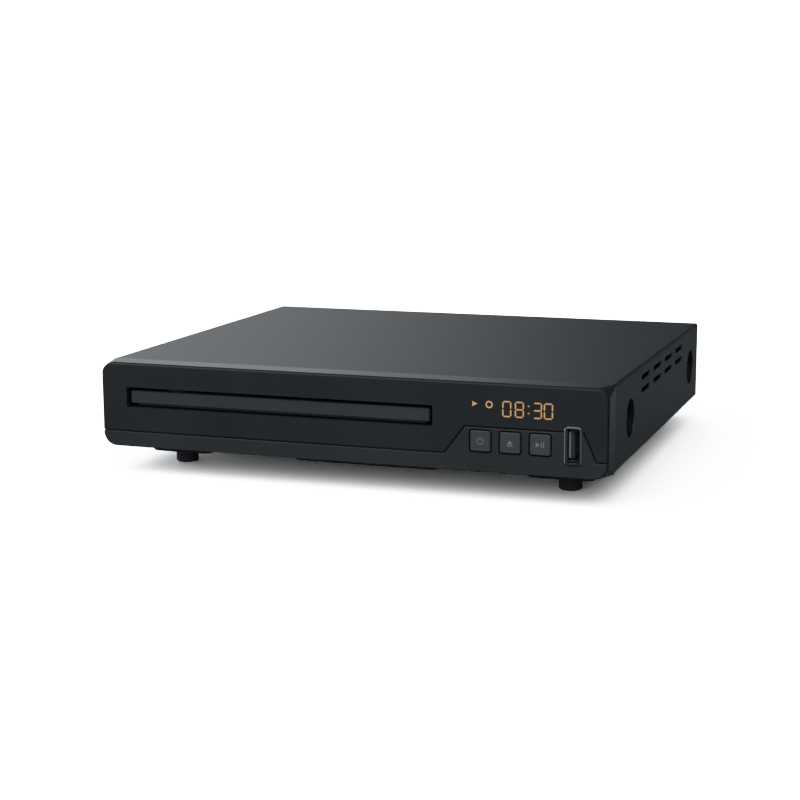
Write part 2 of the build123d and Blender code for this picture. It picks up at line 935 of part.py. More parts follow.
def make_top_cover():
    def folded(half, top):
        height = top - cover_low
        sheet = Pos(0, cover_low + height / 2) * Rectangle(2 * half, height)
        return sheet

    outer = folded(case_width / 2, case_top)
    outer = fillet(outer.vertices().sort_by(Axis.Y)[-2:], cover_bend)
    inner = folded(cover_inner, ceiling)
    inner = fillet(inner.vertices().sort_by(Axis.Y)[-2:], cover_bend - cover_sheet)
    cover = slab(outer - inner, panel_depth, case_depth)
    slots = Sketch()
    for column in range(vent_columns):
        for row in range(vent_rows):
            y = vent_start + column * vent_pitch + vent_length / 2
            z = face_low + vent_rise + row * vent_row_pitch
            slots += Pos(y, z) * SlotOverall(vent_length, vent_height)
    cover -= extrude(Plane.YZ * slots, amount=case_width, both=True)
    floor = case_width / 2 - dimple_depth
    for side in sides:
        for y in (dimple_front, dimple_rear):
            middle = Pos(side * case_width / 2, y, dimple_level()) * Rot(0, -side * 90, 0)
            cup = middle * Pos(0, 0, (dimple_depth + cover_sheet) / 2) * Cone(
                dimple_radius + cover_sheet, dimple_floor + cover_sheet, dimple_depth + cover_sheet)
            hollow = middle * Pos(0, 0, dimple_depth / 2) * Cone(dimple_radius, dimple_floor, dimple_depth)
            cover += cup
            cover -= hollow
            drilled = sorted((side * (floor - cover_sheet), side * floor))
            cover -= bar_x(y, dimple_level(), dimple_hole, *drilled)
    return cover


def drawn(x, y, width, length, corner, draft, z_top, depth):
    """A pressed form: its outside, and the hollow that leaves one sheet's thickness."""
    shapes = []
    for inset in (0, base_sheet):
        top = Pos(x, y, z_top + inset) * RectangleRounded(
            width - 2 * inset, length - 2 * inset, corner - inset)
        low = Pos(x, y, z_top + inset - depth) * RectangleRounded(
            width - 2 * inset - 2 * draft, length - 2 * inset - 2 * draft, corner - inset)
        shapes.append(loft([top, low], ruled=True))
    return shapes


def foot_places():
    return [(name, side * foot_x, y)
            for name, y in (("front", foot_inset), ("rear", case_depth - foot_inset)) for side in sides]


def make_base_chassis():
    half = cover_inner - side_gap
    front = panel_depth + side_gap
    rear = rear_inside - side_gap
    base = block(-half, half, front, rear, rim_low, rim_top)
    pan_width = case_width - 2 * pan_side
    pan_length = case_depth - pan_front - pan_rear
    pan_middle = pan_front + pan_length / 2
    pan, hollow = drawn(0, pan_middle, pan_width, pan_length, pan_corner, pan_draft, rim_low, pan_depth)
    base += pan
    base -= hollow
    presses = [(side * pad_x, y, pad_width, pad_length)
               for side in sides for y in (foot_inset, case_depth - foot_inset)]
    presses.append((0, middle_pad_y, middle_pad_width, middle_pad_length))
    for x, y, width, length in presses:
        pad, hollow = drawn(x, y, width, length, pad_corner, pad_draft, floor_low, pad_depth)
        base += pad
        base -= hollow
    for side in sides:
        edge = sorted((side * half, side * (half - base_sheet)))
        base += block(*edge, front + lip_length, rear, rim_top, rim_top + edge_lip)
        face = case_width / 2 - dimple_depth - cover_sheet
        ear = sorted((side * face, side * (face - base_sheet)))
        for y in (dimple_front, dimple_rear):
            base += block(*ear, y - ear_width / 2, y + ear_width / 2, rim_low, dimple_level() + ear_over)
            base -= bar_x(y, dimple_level(), ear_hole, *ear)
    for _, x, y in foot_places():
        base -= post(x, y, peg_radius + peg_clearance, pad_low, pad_low + base_sheet)
    for slot in range(floor_slots):
        y = floor_slot_y + slot * floor_slot_pitch
        opening = Pos(floor_slot_x, y) * SlotOverall(floor_slot_length, floor_slot_width)
        base -= raised(opening, floor_low, floor_top)
    return base


def make_foot(x, y):
    """A ribbed rubber foot whose barbed peg is pulled through the pad."""
    barb_low = pad_low + base_sheet + foot_seat
    profile = [(0, 0), (foot_toe, 0), (foot_radius, foot_bevel)]
    pitch = (pad_low - foot_bevel) / foot_ribs
    for rib in range(1, foot_ribs):
        level = foot_bevel + rib * pitch
        profile += [(foot_radius, level - rib_groove), (foot_radius - rib_groove, level),
                    (foot_radius, level + rib_groove)]
    profile += [
        (foot_radius, pad_low), (peg_radius, pad_low), (peg_radius, barb_low), (barb_radius, barb_low),
        (peg_radius, barb_low + barb_height), (0, barb_low + barb_height)]
    return turned(profile, x, y)


def socket_places():
    level = face_low + socket_rise
    return [(socket_x + dx * socket_pitch / 2, level + dz * socket_pitch / 2)
            for dx in sides for dz in sides]


def hdmi_level():
    return board_top + hdmi_height / 2


def hdmi_outline(inset):
    """A rectangle with its two lower corners cut."""
    width = hdmi_width - 2 * inset
    height = hdmi_height - 2 * inset
    outline = Pos(hdmi_x, hdmi_level()) * Rectangle(width, height)
    return chamfer(outline.vertices().sort_by(Axis.Y)[:2], hdmi_chamfer)


def make_rear_panel():
    half = cover_inner - side_gap
    panel = block(-half, half, rear_inside, case_depth, rim_top, ceiling - side_gap)
    panel += block(-half + rear_flange, half - rear_flange, rear_inside - rear_flange, rear_inside,
                   rim_top, rim_top + rear_sheet)
    for x, z in socket_places():
        panel -= bar_y(x, z, barrel_radius + socket_clearance, rear_inside, case_depth)
    panel -= slab(hdmi_outline(-socket_clearance), rear_inside, case_depth)
    inlet_hole = Pos(inlet_x, face_low + inlet_rise) * Rectangle(
        inlet_width + 2 * socket_clearance, inlet_height + 2 * socket_clearance)
    panel -= slab(inlet_hole, rear_inside, case_depth)
    for vent in range(rear_vents):
        x = rear_vent_x + vent * rear_vent_pitch
        hole = Pos(x, face_low + rear_vent_rise) * SlotOverall(rear_vent_length, rear_vent_width, rotation=90)
        panel -= slab(hole, rear_inside, case_depth)
    return panel


def make_socket_block():
    """The moulded body of the audio and video sockets, with the barrels' bores."""
    level = face_low + socket_rise
    half_x = (socket_pitch + socket_body) / 2
    body = block(socket_x - half_x, socket_x + half_x, rear_inside - socket_depth, rear_inside,
                 level - half_x, level + half_x)
    body += block(socket_x - half_x, socket_x + half_x, rear_inside - socket_depth, rear_inside,
                  board_top, level)
    for x, z in socket_places():
        body -= bar_y(x, z, barrel_radius, rear_inside - socket_depth / 2, rear_inside)
    return body


def make_socket_barrels():
    barrels = []
    for x, z in socket_places():
        end = case_depth + barrel_reach
        start = rear_inside - socket_depth / 2
        collar = case_depth + collar_thickness
        profile = [(barrel_bore, start), (barrel_radius, start), (barrel_radius, case_depth),
                   (barrel_collar, case_depth), (barrel_collar, collar), (barrel_radius, collar),
                   (barrel_radius, end), (barrel_bore, end)]
        barrels.append(turned_back(profile, x, z))
    return Compound(children=barrels)


def make_socket_inserts():
    inserts = []
    for x, z in socket_places():
        start = rear_inside - socket_depth / 2
        end = case_depth + barrel_reach - insert_recess
        profile = [(0, start), (barrel_bore, start), (barrel_bore, end), (insert_bore, end),
                   (insert_bore, case_depth), (0, case_depth)]
        inserts.append(turned_back(profile, x, z))
    return Compound(children=inserts)


def make_hdmi_shell():
    end = case_depth + hdmi_proud
    start = rear_inside - hdmi_depth
    shell = slab(hdmi_outline(0), start, end)
    return shell - slab(hdmi_outline(hdmi_wall), end - hdmi_cavity, end)


def make_hdmi_tongue():
    half = hdmi_tongue_width / 2
    low = hdmi_level() - hdmi_tongue_thickness / 2
    end = case_depth + hdmi_proud
    return block(hdmi_x - half, hdmi_x + half, end - hdmi_cavity, end - hdmi_tongue_set_back,
                 low, low + hdmi_tongue_thickness)


def make_mains_inlet():
    """An upright two-pin inlet with a waisted mouth."""
    level = face_low + inlet_rise
    end = case_depth + inlet_flange
    outline = Pos(inlet_x, level) * Rectangle(inlet_width, inlet_height)
    body = slab(outline, rear_inside - inlet_depth, case_depth)
    flange_width = inlet_width + 2 * inlet_flange_over
    flange_height = inlet_height + 2 * inlet_flange_over
    body += slab(window(inlet_x, level, flange_width, flange_height, inlet_flange_over), case_depth, end)
    for side in sides:
        lobe = level + side * pin_spacing / 2
        body -= bar_y(inlet_x, lobe, inlet_lobe, end - inlet_cavity, end)
    half = inlet_waist / 2
    return body - block(inlet_x - half, inlet_x + half, end - inlet_cavity, end,
                        level - pin_spacing / 2, level + pin_spacing / 2)


def make_inlet_pins():
    level = face_low + inlet_rise
    floor = case_depth + inlet_flange - inlet_cavity
    pins = [bar_y(inlet_x, level + side * pin_spacing / 2, pin_radius, floor, floor + pin_length)
            for side in sides]
    return Compound(children=pins)


def power_standoffs():
    left = board_left + standoff_inset
    right = board_right - standoff_inset
    rear = power_board_rear - standoff_inset
    front = power_board_front + standoff_inset
    return [(left, front), (right, power_standoff_y), (left, rear), (right, rear)]


def main_standoffs():
    left = board_left + standoff_inset
    front = main_board_front + standoff_inset
    rear = rear_inside - main_standoff_back
    return [(left, front), (main_board_right - standoff_inset, front),
            (left, rear), (left + main_standoff_step, rear)]


def make_board(right, front, rear, standoffs):
    board = block(board_left, right, front, rear, board_low, board_top)
    for x, y in standoffs:
        board -= post(x, y, leg_bore, board_low, board_top)
    return board


def make_standoffs():
    pillars = []
    for x, y in power_standoffs() + main_standoffs():
        pillars.append(post(x, y, standoff_radius, floor_top, board_low)
                       - post(x, y, leg_bore, floor_top, board_low))
    return Compound(children=pillars)


def make_decoder_chip():
    half = chip_size / 2
    return block(chip_x - half, chip_x + half, chip_y - half, chip_y + half,
                 board_top, board_top + chip_thickness)


def make_heat_sink():
    half = sink_size / 2
    low = board_top + chip_thickness
    sink = block(chip_x - half, chip_x + half, chip_y - half, chip_y + half, low, low + sink_base)
    pitch = (sink_size - sink_fin) / (sink_fins - 1)
    for fin in range(sink_fins):
        x = chip_x - half + fin * pitch
        sink += block(x, x + sink_fin, chip_y - half, chip_y + half, low, low + sink_height)
    return sink


def make_transformer_core():
    """Two ferrite halves that close round the bobbin."""
    half_x = core_width / 2
    half_y = core_length / 2
    core = block(core_x - half_x, core_x + half_x, core_y - core_limb, core_y + core_limb,
                 board_top, board_top + core_height)
    for side in sides:
        inner = sorted((side * core_limb / 2, side * (half_x - core_limb / 2)))
        core -= block(core_x + inner[0], core_x + inner[1], core_y - half_y, core_y + half_y,
                      board_top + core_limb / 2, board_top + core_height - core_limb / 2)
    return core


def make_transformer_bobbin():
    half_x = core_width / 2 - core_limb / 2 - side_gap
    half_y = core_length / 2
    limb = core_limb / 2
    low = board_top + limb + side_gap
    high = board_top + core_height - limb - side_gap
    bobbin = block(core_x - half_x, core_x + half_x, core_y - half_y, core_y + half_y, low, high)
    for side in sides:
        rear = core_y + side * half_y
        base = sorted((rear, rear - side * bobbin_margin))
        bobbin += block(core_x - half_x, core_x + half_x, *base, board_top, low)
    limb_hole = limb + side_gap
    return bobbin - block(core_x - limb_hole, core_x + limb_hole, core_y - core_limb - side_gap,
                          core_y + core_limb + side_gap, board_top, high)


def make_can(x, y, radius, height):
    """A capacitor can with the bead rolled into its foot."""
    bead = board_top + can_foot
    profile = [(0, board_top), (radius, board_top), (radius, bead), (radius - can_bead, bead + can_bead),
               (radius, bead + 2 * can_bead), (radius, board_top + height - can_bead),
               (radius - can_bead, board_top + height), (0, board_top + height)]
    return turned(profile, x, y)


def make_capacitors():
    cans = [make_can(can_x, can_y, can_radius, can_height)]
    for number in range(small_cans):
        y = small_can_y + number * small_can_pitch
        cans.append(make_can(small_can_x, y, small_can_radius, small_can_height))
    return Compound(children=cans)


def ribbon_span():
    front = front_board_y + front_board_thickness + connector_depth
    return front, main_board_front


def make_front_ribbon():
    front, rear = ribbon_span()
    low = board_top + ribbon_rise
    half = ribbon_sheet / 2
    return block(ribbon_x - half, ribbon_x + half, front, rear, low, low + ribbon_width)


def make_ribbon_connectors():
    front, rear = ribbon_span()
    low = board_top + ribbon_rise - connector_over
    high = board_top + ribbon_rise + ribbon_width + connector_over
    half = connector_width / 2
    board_back = front_board_y + front_board_thickness
    return Compound(children=[
        block(ribbon_x - half, ribbon_x + half, board_back, front, low, high),
        block(ribbon_x - half, ribbon_x + half, rear, rear + connector_depth, board_top, high),
    ])


def make_disc_tray():
    left = slot_x - tray_half
    right = slot_x + tray_half
    tray = block(left, right, tray_y, tray_rear, tray_underside, tray_top)
    tray += block(left, right, tray_y, tray_y + tray_front_rim / 2, tray_low, tray_underside)
    for side in sides:
        edge = slot_x + side * tray_half
        skirt = sorted((edge, edge - side * skirt_width))
        tray += block(*skirt, tray_y, tray_rear, tray_low, tray_underside)
    tray -= post(slot_x, disc_y, pocket_radius, disc_seat, tray_top)
    tray -= post(slot_x, disc_y, small_pocket_radius, disc_seat - small_pocket_depth, tray_top)
    tail = disc_y + pocket_radius * math.cos(math.radians(tail_angle))
    tray -= block(left + skirt_width, right - skirt_width, tail, tray_rear, tray_top - tail_drop, tray_top)
    passage = Pos(slot_x, disc_y) * Circle(window_half)
    passage += Pos(slot_x, (disc_y + tray_rear) / 2) * Rectangle(2 * window_half, tray_rear - disc_y)
    tray -= raised(passage, tray_low, tray_top)
    for side in sides:
        tray -= post(slot_x + side * tray_half, disc_y, thumb_radius, disc_seat, tray_top)
    teeth = rack_outline(rack_line, tray_gear_y, rack_module, tooth_thinning, rack_back,
                         tray_y + tray_front_rim, tray_rear)
    return tray + raised(teeth, tray_low, tray_underside)


def make_loader_frame():
    left = slot_x - frame_outer
    right = slot_x + frame_outer
    frame = block(left, right, frame_front, frame_rear, deck_low, deck_top)
    frame -= block(slot_x - deck_left, slot_x + deck_right, deck_front, deck_rear, deck_low, deck_top)
    wall_top = tray_top + hook_gap + hook_height
    for side in sides:
        wall = sorted((slot_x + side * frame_inner, slot_x + side * frame_outer))
        frame += block(*wall, frame_front, frame_rear, deck_top, wall_top)
        frame += block(*wall, disc_y - bridge_width / 2, disc_y + bridge_width / 2, wall_top, bridge_low)
        ledge = sorted((slot_x + side * frame_inner, slot_x + side * (frame_inner - ledge_width)))
        ledge_top = tray_low - ledge_gap
        frame += block(*ledge, frame_front, frame_rear, ledge_top - ledge_height, ledge_top)
        hook = sorted((slot_x + side * frame_inner, slot_x + side * (frame_inner - hook_width)))
        for y in (hook_front, hook_middle, hook_rear):
            frame += block(*hook, y, y + hook_length, tray_top + hook_gap, wall_top)
        rib_pitch = (frame_rear - frame_front - rib_thickness) / (rib_count - 1)
        rib = sorted((slot_x + side * frame_outer, slot_x + side * (frame_outer + rib_depth)))
        for number in range(rib_count):
            y = frame_front + number * rib_pitch
            frame += block(*rib, y, y + rib_thickness, deck_low, tray_low)
    legs = [(slot_x - leg_x, leg_front_y), (slot_x + leg_x, leg_front_y),
            (slot_x - leg_rear_left, leg_rear_y), (slot_x + leg_x, leg_rear_y)]
    for x, y in legs:
        frame += post(x, y, leg_radius, floor_top, deck_low)
        frame -= post(x, y, leg_bore, floor_top, deck_top)
    frame += post(tray_gear_x, tray_gear_y, shaft_radius, deck_top, tray_pinion_top)
    frame += post(pulley_x, pulley_y, shaft_radius, deck_top, pulley_top)
    stud_top = deck_top + cam_shelf_gap + 2 * cam_shelf_thickness
    frame += post(slot_x + cam_stud_x, cam_front - cam_shelf_depth / 2, shaft_radius, deck_top, stud_top)
    frame -= post(motor_centre, pulley_y, motor_radius + side_gap, deck_low, deck_top)
    block_half = pivot_radius + pivot_block_wall
    for side, edge in ((-1, traverse_left), (1, traverse_right)):
        inner = slot_x + side * (edge + pivot_length / 2)
        outer = slot_x + side * (edge + pivot_length + pivot_block_gap)
        span = sorted((inner, outer))
        frame += block(*span, pivot_y - block_half, pivot_y + block_half, deck_low, pivot_level + block_half)
        frame -= bar_x(pivot_y, pivot_level, pivot_radius + shaft_clearance, *span)
    return frame


def drive_phase():
    """Turns the pulley's pinion so that a gap meets the tray gear's tooth."""
    return drive_angle + 180 + 180 / pulley_pinion_teeth


def make_tray_gear():
    wheel = gear(tray_gear_x, tray_gear_y, tray_gear_teeth, drive_module, tooth_thinning,
                 drive_angle, gear_low, gear_top)
    wheel += gear(tray_gear_x, tray_gear_y, tray_pinion_teeth, rack_module, tooth_thinning,
                  facing_left, gear_top, tray_pinion_top)
    return wheel - post(tray_gear_x, tray_gear_y, shaft_radius + shaft_clearance, gear_low, tray_pinion_top)


def grooved(radius, rim, low, high):
    """The profile of a pulley with a groove as wide as the belt."""
    half = belt_thickness / 2 + belt_gap
    lip = (rim - radius) / 2
    return [(0, low), (rim, low), (rim, belt_level - half - lip), (radius, belt_level - half),
            (radius, belt_level + half), (rim, belt_level + half + lip), (rim, high), (0, high)]


def make_pulley_gear():
    wheel = turned(grooved(pulley_radius, pulley_rim, pulley_low, pulley_top), pulley_x, pulley_y)
    wheel += gear(pulley_x, pulley_y, pulley_pinion_teeth, drive_module, tooth_thinning,
                  drive_phase(), gear_low, pulley_low)
    return wheel - post(pulley_x, pulley_y, shaft_radius + shaft_clearance, gear_low, pulley_top)


def make_motor_pulley():
    profile = grooved(motor_pulley_radius, motor_pulley_rim, pulley_low, pulley_top)
    wheel = turned(profile, motor_centre, pulley_y)
    return wheel + post(motor_centre, pulley_y, motor_shaft_radius, deck_top - motor_shaft_depth, pulley_low)


def make_drive_belt():
    near = belt_gap
    far = belt_gap + belt_thickness
    outer = loop_outline(pulley_x, motor_centre, pulley_y, pulley_radius + far, motor_pulley_radius + far)
    inner = loop_outline(pulley_x, motor_centre, pulley_y, pulley_radius + near, motor_pulley_radius + near)
    half = belt_thickness / 2
    return raised(outer - inner, belt_level - half, belt_level + half)


def make_loading_motor():
    flange_top = deck_top + motor_flange
    low = flange_top - motor_height
    boss_top = flange_top + motor_boss_height
    flange = motor_radius + motor_flange_over
    profile = [(0, low), (motor_radius, low), (motor_radius, deck_top), (flange, deck_top),
               (flange, flange_top), (motor_boss, flange_top), (motor_boss, boss_top), (0, boss_top)]
    motor = turned(profile, motor_centre, pulley_y)
    bore = motor_shaft_radius + shaft_clearance
    return motor - post(motor_centre, pulley_y, bore, deck_top - motor_shaft_depth - side_gap, boss_top)


def cam_pins():
    return (slot_x - cam_pin_left, slot_x + cam_pin_right)


def make_cam_slider():
    """A plate with two sloped slots, and a shelf that slides on the deck."""
    high = pivot_level + cam_pin_radius + cam_margin
    low = pivot_level - cam_drop - cam_pin_radius - cam_margin
    cam = block(slot_x - cam_left, slot_x + cam_right, cam_front, cam_back, low, high)
    shelf_low = deck_top + cam_shelf_gap
    shelf_top = shelf_low + cam_shelf_thickness
    shelf_front = cam_front - cam_shelf_depth
    cam += block(slot_x - cam_shelf_left, slot_x + cam_shelf_right, shelf_front, cam_front,
                 shelf_low, shelf_top)
    slot_radius = cam_pin_radius + cam_slot_clearance
    for x in cam_pins():
        path = SlotCenterToCenter(math.hypot(cam_travel, cam_drop), 2 * slot_radius,
                                  rotation=math.degrees(math.atan2(cam_drop, cam_travel)))
        cam -= slab(Pos(x - cam_travel / 2, pivot_level - cam_drop / 2) * path, cam_front, cam_back)
    stud = shaft_radius + cam_slot_clearance
    guide = SlotCenterToCenter(cam_travel, 2 * stud)
    guide = Pos(slot_x + cam_stud_x - cam_travel / 2, cam_front - cam_shelf_depth / 2) * guide
    return cam - raised(guide, shelf_low, shelf_top)


def make_traverse_plate():
    left = slot_x - traverse_left
    right = slot_x + traverse_right
    outline = Pos((left + right) / 2, (traverse_front + traverse_back) / 2) * RectangleRounded(
        right - left, traverse_back - traverse_front, traverse_corner)
    plate = raised(outline, traverse_low, traverse_top)
    plate -= block(slot_x - sled_window_half, slot_x + sled_window_half, sled_window_front, sled_window_rear,
                   traverse_low, traverse_top)
    plate -= post(slot_x, disc_y, spindle_base_radius + side_gap, traverse_low, traverse_top)
    for side, edge in ((-1, traverse_left), (1, traverse_right)):
        start = slot_x + side * (edge - pivot_radius)
        stub = sorted((start, slot_x + side * (edge + pivot_length)))
        plate += bar_x(pivot_y, pivot_level, pivot_radius, *stub)
        for y in (rod_front, rod_rear - holder_length):
            x = slot_x + side * rod_x
            plate += block(x - holder_width / 2, x + holder_width / 2, y, y + holder_length,
                           traverse_top, rod_level + rod_radius + holder_over)
    for side in sides:
        plate -= bar_y(slot_x + side * rod_x, rod_level, rod_radius, rod_front, rod_rear)
    for x in cam_pins():
        plate += bar_y(x, pivot_level, cam_pin_radius, cam_front + side_gap, traverse_front + cam_pin_radius)
    plate += post(feed_gear_x, feed_gear_y, feed_pin_radius, traverse_top, feed_rack_top)
    hole = sled_shaft_radius + side_gap
    return plate - post(feed_gear_x, sled_pinion_y, hole, traverse_low, traverse_top)


def make_guide_rods():
    return Compound(children=[bar_y(slot_x + side * rod_x, rod_level, rod_radius, rod_front, rod_rear)
                              for side in sides])


def make_spindle_motor():
    low = traverse_top - spindle_base_depth
    top = traverse_top + spindle_height
    profile = [(0, low), (spindle_base_radius, low), (spindle_base_radius, traverse_top),
               (spindle_radius, traverse_top), (spindle_radius, top - spindle_edge),
               (spindle_radius - spindle_edge, top), (0, top)]
    motor = turned(profile, slot_x, disc_y)
    bore = spindle_shaft_radius + spindle_bore_clearance
    return motor - post(slot_x, disc_y, bore, turntable_low - spindle_shaft_depth - side_gap, top)


def make_turntable():
    seat = turntable_top - pad_ring_thickness
    nose = turntable_top + hub_height
    shaft_low = turntable_low - spindle_shaft_depth
    profile = [(0, shaft_low), (spindle_shaft_radius, shaft_low), (spindle_shaft_radius, turntable_low),
               (turntable_radius - turntable_edge, turntable_low),
               (turntable_radius, turntable_low + turntable_edge), (turntable_radius, seat),
               (hub_radius, seat), (hub_radius, nose - hub_cone), (hub_nose, nose), (0, nose)]
    return turned(profile, slot_x, disc_y)


def make_turntable_pad():
    seat = turntable_top - pad_ring_thickness
    return (post(slot_x, disc_y, turntable_radius, seat, turntable_top)
            - post(slot_x, disc_y, turntable_radius - pad_ring, seat, turntable_top))


def make_clamper():
    bore_top = turntable_top + hub_height + clamper_bore_over
    profile = [(clamper_bore, clamper_low), (clamper_radius, clamper_low), (clamper_radius, clamper_rim),
               (clamper_flange_radius, clamper_rim), (clamper_flange_radius, clamper_top),
               (magnet_radius, clamper_top), (magnet_radius, clamper_top - magnet_thickness),
               (0, clamper_top - magnet_thickness), (0, bore_top), (clamper_bore, bore_top)]
    return turned(profile, slot_x, disc_y)


def make_clamper_magnet():
    return post(slot_x, disc_y, magnet_radius, clamper_top - magnet_thickness, clamper_top)


def make_clamp_bridge():
    """A pressed strap over the tray, widened to a ring round the clamper."""
    outline = Pos(slot_x, disc_y) * Rectangle(2 * frame_outer, bridge_width)
    outline += Pos(slot_x, disc_y) * Circle(bridge_ring)
    outline -= Pos(slot_x, disc_y) * Circle(clamper_radius + bridge_hole_gap)
    bridge = raised(outline, bridge_low, bridge_top)
    for side in sides:
        edge = disc_y + side * bridge_width / 2
        rib = sorted((edge, edge - side * bridge_sheet))
        for half in sides:
            span = sorted((slot_x + half * bridge_ring, slot_x + half * frame_outer))
            bridge += block(*span, *rib, bridge_top, bridge_top + bridge_rib)
    return bridge


def make_pickup():
    """The sled, with a bored arm on one rod, a shelf over the other and the feed rack."""
    front = lens_y - sled_front
    rear = front + sled_length
    outline = Pos(slot_x, (front + rear) / 2) * RectangleRounded(2 * sled_half, sled_length, sled_corner)
    sled = raised(outline, sled_low, sled_top)
    arm_front = (front + rear - arm_length) / 2
    arm_rear = arm_front + arm_length
    arm = slot_x - rod_x
    reach = rod_radius + arm_margin
    sled += block(arm - reach, slot_x - sled_half, arm_front, arm_rear,
                  rod_level - rod_radius - arm_gap, rod_level + reach - arm_gap)
    sled -= bar_y(arm, rod_level, rod_radius + rod_clearance, arm_front, arm_rear)
    shelf_low = rod_level + rod_radius + arm_gap
    rack_root = slot_x + feed_rack_x - root_share * feed_module
    rack_side = rack_root - feed_rack_back
    sled += block(slot_x + sled_half - arm_thickness, rack_root, arm_front, arm_rear,
                  shelf_low, shelf_low + arm_thickness)
    sled += block(slot_x + sled_half - arm_thickness, slot_x + sled_half, arm_front, arm_rear,
                  sled_low, shelf_low)
    rack_rear = feed_gear_y + feed_overrun
    teeth = rack_outline(slot_x + feed_rack_x, feed_gear_y, feed_module, feed_thinning, feed_rack_back,
                         feed_gear_y - sled_travel - feed_overrun, rack_rear)
    sled += raised(teeth, feed_rack_low, feed_rack_top)
    return sled + block(rack_side, rack_root, arm_front, arm_rear, feed_rack_low, shelf_low + arm_thickness)


def make_objective_lens():
    low = sled_top + lens_gap
    top = low + lens_body
    body = block(slot_x - lens_width / 2, slot_x + lens_width / 2, lens_y - lens_length / 2,
                 lens_y + lens_length / 2, low, top)
    cap = (lens_radius ** 2 + lens_rise ** 2) / (2 * lens_rise)
    dome = Pos(slot_x, lens_y, top + lens_rise - cap) * Sphere(cap)
    return body + (dome & post(slot_x, lens_y, lens_radius, top - lens_rise, top + lens_rise))


def make_feed_gear():
    wheel = gear(feed_gear_x, feed_gear_y, feed_gear_teeth, feed_module, feed_thinning,
                 facing_front, feed_low, feed_top)
    wheel += gear(feed_gear_x, feed_gear_y, feed_pinion_teeth, feed_module, feed_thinning,
                  facing_left, feed_top, feed_rack_top)
    return wheel - post(feed_gear_x, feed_gear_y, feed_pin_radius + shaft_clearance, feed_low, feed_rack_top)


def make_sled_pinion():
    phase = facing_rear + 180 / sled_pinion_teeth
    wheel = gear(feed_gear_x, sled_pinion_y, sled_pinion_teeth, feed_module, feed_thinning,
                 phase, feed_low, feed_top)
    shaft_low = traverse_low - sled_shaft_depth
    return wheel + post(feed_gear_x, sled_pinion_y, sled_shaft_radius, shaft_low, feed_low)


def make_sled_motor():
    low = traverse_low - sled_motor_height
    profile = [(0, low), (sled_motor_radius - sled_motor_edge, low),
               (sled_motor_radius, low + sled_motor_edge), (sled_motor_radius, traverse_low),
               (0, traverse_low)]
    motor = turned(profile, feed_gear_x, sled_pinion_y)
    bore = sled_shaft_radius + shaft_clearance
    bore_low = traverse_low - sled_shaft_depth - side_gap
    return motor - post(feed_gear_x, sled_pinion_y, bore, bore_low, traverse_low)


def make_parts():
    parts = {
        "front_panel": make_front_panel(),
        "fascia_plate": make_fascia_plate(),
        "lower_trim": make_lower_trim(),
        "power_button": make_button(0),
        "eject_button": make_button(1),
        "play_button": make_button(2),
        "tray_door": make_tray_door(),
        "usb_bezel": make_usb_bezel(),
        "usb_shell": make_usb_shell(),
        "usb_tongue": make_usb_tongue(),
        "front_board": make_front_board(),
        "display_module": make_display_module(),
        "button_switches": make_switches(),
        "infrared_eye": make_infrared_eye(),
        "top_cover": make_top_cover(),
        "base_chassis": make_base_chassis(),
        "rear_panel": make_rear_panel(),
        "socket_block": make_socket_block(),
        "socket_barrels": make_socket_barrels(),
        "socket_inserts": make_socket_inserts(),
        "hdmi_shell": make_hdmi_shell(),
        "hdmi_tongue": make_hdmi_tongue(),
        "mains_inlet": make_mains_inlet(),
        "inlet_pins": make_inlet_pins(),
        "power_board": make_board(board_right, power_board_front, power_board_rear, power_standoffs()),
        "main_board": make_board(main_board_right, main_board_front, rear_inside - board_back_gap,
                                 main_standoffs()),
        "board_standoffs": make_standoffs(),
        "decoder_chip": make_decoder_chip(),
        "heat_sink": make_heat_sink(),
        "transformer_core": make_transformer_core(),
        "transformer_bobbin": make_transformer_bobbin(),
        "capacitors": make_capacitors(),
        "front_ribbon": make_front_ribbon(),
        "ribbon_connectors": make_ribbon_connectors(),
        "disc_tray": make_disc_tray(),
        "loader_frame": make_loader_frame(),
        "tray_gear": make_tray_gear(),
        "pulley_gear": make_pulley_gear(),
        "motor_pulley": make_motor_pulley(),
        "drive_belt": make_drive_belt(),
        "loading_motor": make_loading_motor(),
        "cam_slider": make_cam_slider(),
        "traverse_plate": make_traverse_plate(),
        "guide_rods": make_guide_rods(),
        "spindle_motor": make_spindle_motor(),
        "turntable": make_turntable(),
        "turntable_pad": make_turntable_pad(),
        "clamper": make_clamper(),
        "clamper_magnet": make_clamper_magnet(),
        "clamp_bridge": make_clamp_bridge(),
        "pickup": make_pickup(),
        "objective_lens": make_objective_lens(),
        "feed_gear": make_feed_gear(),
        "sled_pinion": make_sled_pinion(),
        "sled_motor": make_sled_motor(),
    }
    for end, x, y in foot_places():
        side = "right" if x > 0 else "left"
        parts[f"foot_{end}_{side}"] = make_foot(x, y)
    return parts


def main():
    os.makedirs("parts", exist_ok=True)
    for name, shape in make_parts().items():
        export_step(Pos(0, face_y, 0) * shape, os.path.join("parts", name + ".step"))


if __name__ == "__main__":
    main()
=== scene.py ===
import json
import math

import bmesh
import bpy
from mathutils import Matrix, Vector


